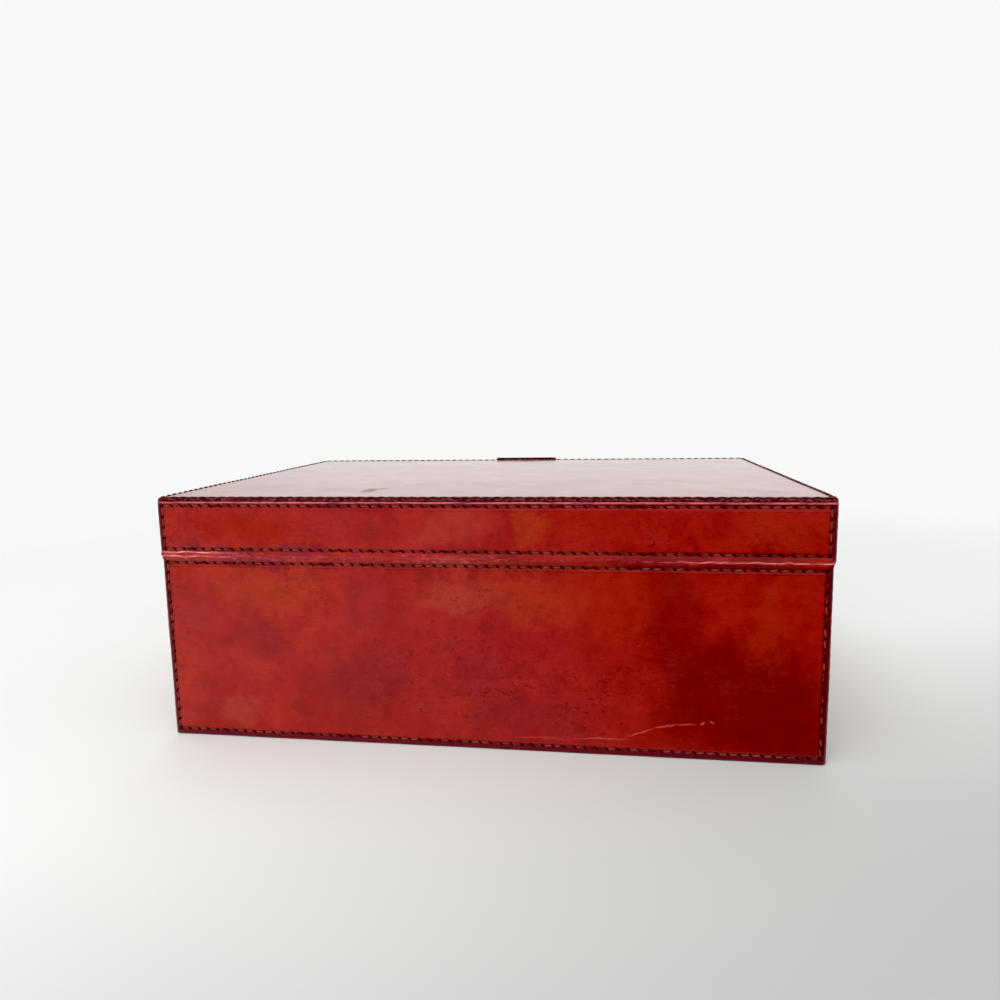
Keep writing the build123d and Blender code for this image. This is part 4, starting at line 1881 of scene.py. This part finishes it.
@dataclass
class RingRolls:
    """The soft rolls that hold rings: rounded bars of suede over foam, side by side."""

    node: str = "tray_ring_rolls"
    count: int = 9
    gap: float = 0.35
    around: int = 20
    end_shares: tuple[float, ...] = (0.0, 0.02, 0.06, 0.5, 0.94, 0.98, 1.0)
    middle_shares: tuple[float, float, int] = (0.06, 0.94, 24)
    seed: int = 5
    lean: float = 0.25
    lean_share: float = 0.4
    side_power: float = 0.72
    crown_power: float = 0.9
    foot_power: float = 0.45
    side_room: float = 0.12
    end_room: float = 0.2
    end_width: float = 0.8
    end_reach: float = 0.05
    wave_height: float = 0.12
    wave_beat: float = 19.0
    wave_fade: float = 8.0
    fill: float = 0.7

    def roll(self, number: int, middle: float, width: float, lean: float) -> list[tuple[float, float, float]]:
        """Returns the points of one roll, ring after ring.

        Args:
            number: The roll's number.
            middle: The y of its middle.
            width: Its width.
            lean: How far its crown leans to the side.

        Returns:
            The points, in millimetres.
        """
        low, high = node_box(self.node)
        height, length = high[2] - low[2], high[0] - low[0]
        points = []
        for t in np.unique(np.concatenate([self.end_shares, np.linspace(*self.middle_shares)])):
            pull = self.end_width + (1 - self.end_width) * min(1, math.sqrt(min(t, 1 - t) / self.end_reach))
            fade = min(1, t * self.wave_fade, (1 - t) * self.wave_fade)
            wave = self.wave_height * math.sin(t * self.wave_beat + number) * fade
            x = low[0] + self.end_room + t * (length - 2 * self.end_room)
            for k in range(self.around):
                angle = math.tau * k / self.around
                c, s = math.cos(angle), math.sin(angle)
                across = math.copysign(abs(c) ** self.side_power, c) * (width / 2 - self.side_room)
                up = math.copysign(abs(s) ** (self.crown_power if s > 0 else self.foot_power), s)
                z = low[2] + height * (0.5 + 0.5 * up * (pull if s > 0 else 1))
                y = middle + across * pull + lean * max(0, up) * self.lean_share
                points.append((x, y, min(z + wave * max(0, up), high[2])))
        return points

    def build(self, material: Material) -> bpy.types.Object:
        """Builds all the rolls as one padded piece.

        Args:
            material: Their finish.

        Returns:
            The mesh object.
        """
        low, high = node_box(self.node)
        pitch = (high[1] - low[1] + self.gap) / self.count
        width, around = pitch - self.gap, self.around
        random = np.random.RandomState(self.seed)
        points, faces = [], []
        for number in range(self.count):
            first = len(points)
            lean = random.uniform(-self.lean, self.lean)
            points += self.roll(number, low[1] + width / 2 + number * pitch, width, lean)
            last = len(points) - around
            for ring in range(first, last, around):
                for k in range(around):
                    a, b = ring + k, ring + (k + 1) % around
                    faces.append([b, b + around, a + around, a])
            faces.append([first + k for k in range(around)])
            faces.append([last + k for k in range(around)][::-1])
        piece = make_object("ring_rolls", np.array(points), faces, [material], sharp_over=70)
        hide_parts(self.node)
        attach(piece, Body.TRAY.value)
        return piece


# Sub-assemblies


@dataclass
class Case:
    """The leather-covered walls of the base and the lid, with the continuous rear hide."""

    finishes: Finishes
    stitching: Stitching
    inset: float = 2.8
    base_top_inset: float = 3.1
    hinge_low: float = 84.4
    hinge_high: float = 90.8
    hinge_margin: float = 0.7
    lid_top_row: float = 111.0
    rear_seed: int = 12

    def build(self) -> None:
        """Builds the hides of the base and the lid."""
        base_low, base_high = node_box("base_front_leather")
        lid_low, lid_high = node_box("lid_front_leather")
        rear = node_box("base_rear_leather")[1][1]
        seam, top = base_high[2], lid_high[2] + TOP_SEAM_LIFT
        self.rear_hide(base_high[0], lid_high[0], rear, top)
        for body, half, front, low, high, top_inset, turned in (
            (Body.BASE, base_high[0], base_low[1], base_low[2], seam, self.base_top_inset, Rim.UPPER),
            (Body.LID, lid_high[0], lid_low[1], seam, top, top - self.lid_top_row, Rim.LOWER),
        ):
            half_depth, middle = (rear - front) / 2, (rear + front) / 2
            for side, place, half_length in (
                (Side.FRONT, np.array([0, front, 0]), half),
                (Side.LEFT, np.array([-half, middle, 0]), half_depth),
                (Side.RIGHT, np.array([half, middle, 0]), half_depth),
            ):
                name = f"{body.value}_{side.name.lower()}"
                seams = frame_of_seams(half_length, low, high, self.inset, top_inset, body)
                panel = HidePanel(f"{name}_hide", side, low, high, half_length, place, seams,
                                  sum(map(ord, name)), turned=turned)
                piece = self.dress(panel)
                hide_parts(f"{name}_leather")
                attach(piece, body.value)

    def dress(self, panel: HidePanel) -> bpy.types.Object:
        """Builds a hide and lays its stitches.

        Args:
            panel: The hide.

        Returns:
            The mesh object.
        """
        piece = panel.build(self.finishes.hide)
        panel.stitch(self.stitching)
        report(piece)
        return piece

    def rear_hide(self, base_half: float, lid_half: float, rear: float, top: float) -> None:
        """Builds the one hide that covers the rear of base and lid and bends between them.

        Args:
            base_half: Half the width of the base.
            lid_half: Half the width of the lid.
            rear: The y of the hide's face.
            top: The height of its upper edge.
        """
        end, low = base_half - self.inset, self.inset
        seams = (
            Seam((-end, low), (end, low), Body.BASE),
            Seam((-end, self.hinge_low), (end, self.hinge_low), Body.BASE),
            Seam((-end, self.hinge_high), (end, self.hinge_high), Body.LID),
            Seam((-end, self.lid_top_row), (end, self.lid_top_row), Body.LID),
            Seam((-end, low), (-end, self.hinge_low), Body.BASE),
            Seam((end, low), (end, self.hinge_low), Body.BASE),
            Seam((-end, self.hinge_high), (-end, self.lid_top_row), Body.LID),
            Seam((end, self.hinge_high), (end, self.lid_top_row), Body.LID),
        )
        band = Band(self.hinge_low + self.hinge_margin, self.hinge_high - self.hinge_margin,
                    lid_half - self.inset - end, self.rear_seed)
        piece = self.dress(HidePanel("rear_hide", Side.REAR, 0, top, base_half, np.array([0, rear, 0]), seams,
                                     self.rear_seed, band=band, top_edge_radius=1.2, upper_border_cut=1.0))
        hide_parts("base_rear_leather", "hinge_leather", "lid_rear_leather")
        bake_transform(piece, Body.BASE.value, Body.LID.value, start=(0, rear * MM, self.hinge_low * MM),
                 end=(0, rear * MM, self.hinge_high * MM))


@dataclass
class Closure:
    """The closure: a strap sewn to the lid that folds down over the front, and its backing."""

    finishes: Finishes
    stitching: Stitching
    row_inset: float = 2.6
    tip_radius: float = 10.0
    top_radius: float = 1.2
    fold_clearance: float = 5.0
    fold_reach: Span = (2.5, -4.5)
    upper_end_drop: float = 0.6
    face_lift: float = 0.1
    backing_margin: float = 0.3
    backing_lift: float = 0.05
    backing_edge_radius: float = 0.3
    seeds: tuple[int, int] = (51, 52)

    def rows(self, width: float, low: float, fold: float, high: float) -> tuple[SeamPath, SeamPath]:
        """Returns the rows of the strap: one round the flap's tip and one round the part sewn to the lid.

        Args:
            width: The strap's width.
            low: The height of its tip.
            fold: The height of the fold.
            high: The height of its upper end.

        Returns:
            The flap's row and the root's row.
        """
        half, bottom, top = width / 2 - self.row_inset, low + self.row_inset, high - self.row_inset
        radius = self.tip_radius - self.row_inset
        quarter = np.linspace(0, math.pi / 2, 9)
        turn = [(-half + radius * (1 - math.cos(a)), bottom + radius * (1 - math.sin(a))) for a in quarter]
        across = [(-x, z) for x, z in turn[::-1]]
        start, foot = fold - self.fold_clearance, fold + self.fold_clearance
        tip = [(-half, start), *turn, *across, (half, start)]
        root = [(-half, foot), (-half, top), (half, top), (half, foot), (-half, foot)]
        return SeamPath(np.array(tip), Body.FLAP), SeamPath(np.array(root), Body.LID)

    def build(self) -> None:
        """Builds the strap and its backing."""
        root_low, root_high = node_box("closure_root")
        flap_low, flap_high = node_box("closure_flap")
        lining_low, lining_high = node_box("closure_flap_lining")
        width, fold = root_high[0] - root_low[0], flap_high[2]
        top = root_high[2] - self.upper_end_drop
        strap = Strap("closure_strap", Side.FRONT, 0, width, flap_low[2], top, -flap_low[1] - self.face_lift,
                      -lining_low[1], self.tip_radius, self.top_radius, self.seeds[0],
                      paths=self.rows(width, flap_low[2], fold, top))
        piece = strap.build([self.finishes.hide, self.finishes.edge])
        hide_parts("closure_root", "closure_flap")
        middle = (flap_low[1] + root_high[1]) / 2
        above, below = self.fold_reach
        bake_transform(piece, Body.LID.value, Body.FLAP.value, start=(0, middle * MM, (fold + above) * MM),
                 end=(0, middle * MM, (fold + below) * MM))
        backing = Strap("closure_backing", Side.FRONT, 0, width - 2 * self.backing_margin,
                        lining_low[2] + self.backing_margin, lining_high[2],
                        -lining_low[1] - self.backing_lift, -lining_high[1], self.tip_radius, 0,
                        self.seeds[1], edge_radius=self.backing_edge_radius)
        lining = backing.build([self.finishes.hide])
        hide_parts("closure_flap_lining")
        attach(lining, Body.FLAP.value)
        strap.stitch(self.stitching)
        report(piece)
        report(lining)


@dataclass
class Interior:
    """The well's pad, the lid's pad, the tray's rolls and tabs, and the covered boards."""

    finishes: Finishes
    nodes: dict[str, bpy.types.Object]
    board_edge: float = 0.5
    edge_steps: int = 3
    flat_angle: float = 2.0
    tab_corners: Span = (0.6, 4.0)
    tab_edge_radius: float = 0.35
    tab_seed: int = 61

    def build(self) -> None:
        """Builds the soft pieces and softens the covered boards."""
        for pad in (Pad("lid_padding", "lid_pad", Body.LID),
                    Pad("well_padding", "well_floor_pad", Body.BASE, cap=0.8)):
            report(pad.build(self.finishes.suede))
        report(RingRolls().build(self.finishes.suede))
        for node in sorted(self.nodes):
            if node.startswith(("tray_", "well_")) and not node.endswith(("pad", "rolls", "tab")):
                report(self.soften(node, Body.TRAY if node.startswith("tray_") else Body.BASE))
        for node, side in (("tray_left_tab", Side.RIGHT), ("tray_right_tab", Side.LEFT)):
            report(self.tab(node, side))

    def soften(self, node: str, body: Body) -> bpy.types.Object:
        """Replaces a rigid covered board by a copy with softly rounded edges.

        Args:
            node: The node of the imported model.
            body: The body that it rides on.

        Returns:
            The mesh object.
        """
        source = bpy.data.meshes.new_from_object(self.nodes[node])
        piece = bpy.data.objects.new(f"{node}_covered", source)
        bpy.context.scene.collection.objects.link(piece)
        form = bmesh.new()
        form.from_mesh(source)
        bmesh.ops.remove_doubles(form, verts=form.verts, dist=1e-6)
        bmesh.ops.dissolve_limit(form, angle_limit=math.radians(self.flat_angle), verts=form.verts,
                                 edges=form.edges)
        bmesh.ops.recalc_face_normals(form, faces=form.faces)
        form.to_mesh(source)
        form.free()
        source.materials.clear()
        source.materials.append(self.finishes.suede)
        bevel = piece.modifiers.new("soft_edges", "BEVEL")
        bevel.width = self.board_edge * MM
        bevel.segments = self.edge_steps
        bevel.limit_method = "ANGLE"
        source.shade_smooth()
        source.set_sharp_from_angle(angle=math.radians(50))
        graph = bpy.context.evaluated_depsgraph_get()
        mesh = bpy.data.meshes.new_from_object(piece.evaluated_get(graph))
        piece.modifiers.clear()
        piece.data = mesh
        mesh.shade_smooth()
        mesh.set_sharp_from_angle(angle=math.radians(40))
        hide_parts(node)
        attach(piece, body.value)
        return piece

    def tab(self, node: str, side: Side) -> bpy.types.Object:
        """Builds one of the tray's lifting tabs.

        Args:
            node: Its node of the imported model.
            side: The side that its face looks to.

        Returns:
            The mesh object.
        """
        low, high = node_box(node)
        face, back = (high[0], low[0]) if side is Side.RIGHT else (-low[0], -high[0])
        strap = Strap(f"{node}_strap", side, (low[1] + high[1]) / 2, high[1] - low[1], low[2], high[2],
                      face, back, *self.tab_corners, self.tab_seed, edge_radius=self.tab_edge_radius)
        piece = strap.build([self.finishes.hide])
        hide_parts(node)
        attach(piece, Body.TRAY.value)
        return piece


@dataclass
class Studio:
    """A plain pale floor, soft light and the photograph's camera. Angles are degrees."""

    camera_place: Place = (-55.8, 411.8, 155.6)
    heading: float = 188.27
    tilt: float = 82.36
    roll: float = -1.05
    lens: float = 26.14
    sensor: float = 36.0
    clip: Span = (0.01, 50)
    floor_half: float = 6000.0
    floor_height: float = -0.2
    window: tuple[Place, float, float] = ((500, -900, 1100), 1.8, 4.5)
    fill: tuple[Place, float, float] = ((60, 850, 1000), 1.2, 9)
    # Corners of the dark sheet that paints dark reflection into the -x half of the rear hide
    reflection_sheet_low: Place = (-1500, 110, 0.5)
    reflection_sheet_high: Place = (200, 1500, 0.5)
    background: Colour = srgb(247, 249, 249)
    dim_side: float = 0.84
    bright_side: float = 1.35
    bright_reach: Span = (-0.7, -0.97)
    black_point: float = 0.012

    def build(self) -> None:
        """Builds the floor, the lights and the camera."""
        half = self.floor_half
        self.sheet("floor", (-half, -half, self.floor_height), (half, half, self.floor_height),
                            PaleFloor().build())
        self.world()
        self.softbox("window_softbox", *self.window)
        self.softbox("fill_softbox", *self.fill)
        # A dark sheet hidden from the camera, from diffuse light and from shadows: painted dark reflection on
        # the -x half of the rear hide
        cloth = self.sheet("dark_cloth", self.reflection_sheet_low, self.reflection_sheet_high, DarkReflectionSheet().build())
        cloth.visible_camera = cloth.visible_diffuse = cloth.visible_shadow = False
        self.camera()
        view = bpy.context.scene.view_settings
        view.view_transform = "Standard"
        view.use_curve_mapping = True
        view.curve_mapping.black_level = (self.black_point,) * 3
        view.curve_mapping.update()

    def camera(self) -> None:
        """Sets up the photograph's camera."""
        camera = bpy.data.cameras.new("photo_camera")
        camera.lens, camera.sensor_width = self.lens, self.sensor
        camera.clip_start, camera.clip_end = self.clip
        eye = bpy.data.objects.new("photo_camera", camera)
        turn = Matrix.Rotation(math.radians(self.heading), 4, "Z")
        for angle, axis in ((self.tilt, "X"), (self.roll, "Z")):
            turn = turn @ Matrix.Rotation(math.radians(angle), 4, axis)
        eye.matrix_world = Matrix.Translation(Vector(self.camera_place) * MM) @ turn
        bpy.context.scene.collection.objects.link(eye)
        bpy.context.scene.camera = eye

    def world(self) -> None:
        """Makes the even pale surroundings, a little brighter in front."""
        world = bpy.data.worlds.new("pale_surroundings")
        world.use_nodes = True
        tree = world.node_tree
        backdrop = tree.nodes["Background"]
        backdrop.inputs["Color"].default_value = self.background
        place = add_node(tree, "ShaderNodeTexCoord").outputs["Generated"]
        rearward = add_node(tree, "ShaderNodeSeparateXYZ", {0: place}).outputs[1]
        reach = dict(enumerate((rearward, *self.bright_reach, self.dim_side, self.bright_side)))
        glow = add_node(tree, "ShaderNodeMapRange", reach, interpolation_type="SMOOTHSTEP").outputs[0]
        room = add_node(tree, "ShaderNodeBackground", {"Strength": glow}).outputs[0]
        seen = add_node(tree, "ShaderNodeLightPath").outputs["Is Camera Ray"]
        choice = add_node(tree, "ShaderNodeMixShader", {0: seen, 1: room, 2: backdrop.outputs[0]}).outputs[0]
        tree.links.new(choice, tree.nodes["World Output"].inputs[0])
        bpy.context.scene.world = world

    def sheet(self, name: str, low: Place, high: Place, material: Material) -> bpy.types.Object:
        """Lays a level sheet between two corners."""
        corners = np.array([low, (high[0], low[1], low[2]), high, (low[0], high[1], low[2])], float)
        return make_object(name, corners, [[0, 1, 2, 3]], [material])

    def softbox(self, name: str, place: Place, size: float, watts: float) -> None:
        """Hangs a square softbox that faces the box and doesn't show in its gloss.

        Args:
            name: The light's name.
            place: Where it hangs, in millimetres.
            size: Its width in metres.
            watts: Its power.
        """
        light = bpy.data.lights.new(name, "AREA")
        light.size, light.energy = size, watts
        lamp = bpy.data.objects.new(name, light)
        lamp.location = Vector(place) * MM
        lamp.rotation_euler = (-lamp.location).to_track_quat("-Z", "Y").to_euler()
        lamp.visible_glossy = False
        bpy.context.scene.collection.objects.link(lamp)


def dress_nodes(nodes: dict[str, bpy.types.Object], finishes: Finishes) -> None:
    """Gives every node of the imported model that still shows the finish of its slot.

    Args:
        nodes: The nodes, by name.
        finishes: The finishes.
    """
    for node in nodes.values():
        for place in node.material_slots:
            name = place.material.name if place.material else ""
            place.material = finishes.of(next((slot for slot in Slot if slot.value in name), Slot.BOARD))


def main() -> None:
    """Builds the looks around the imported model."""
    logging.basicConfig(level=logging.INFO, format="%(name)s: %(message)s")
    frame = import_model()
    finishes = Finishes(rear=node_box("base_rear_leather")[1][1])
    stitching = Stitching(finishes.thread)
    dress_nodes(frame["nodes"], finishes)
    Case(finishes, stitching).build()
    top_low, top_high = node_box("lid_top_leather")
    top = TopHide(top_low + np.array([0, 0, TOP_SEAM_LIFT]), top_high)
    piece = top.build(finishes.top_hide, finishes.edge, stitching)
    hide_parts("lid_top_leather")
    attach(piece, Body.LID.value)
    report(piece)
    Closure(finishes, stitching).build()
    Interior(finishes, frame["nodes"]).build()
    stitching.build()
    Studio().build()


if __name__ == "__main__":
    main()
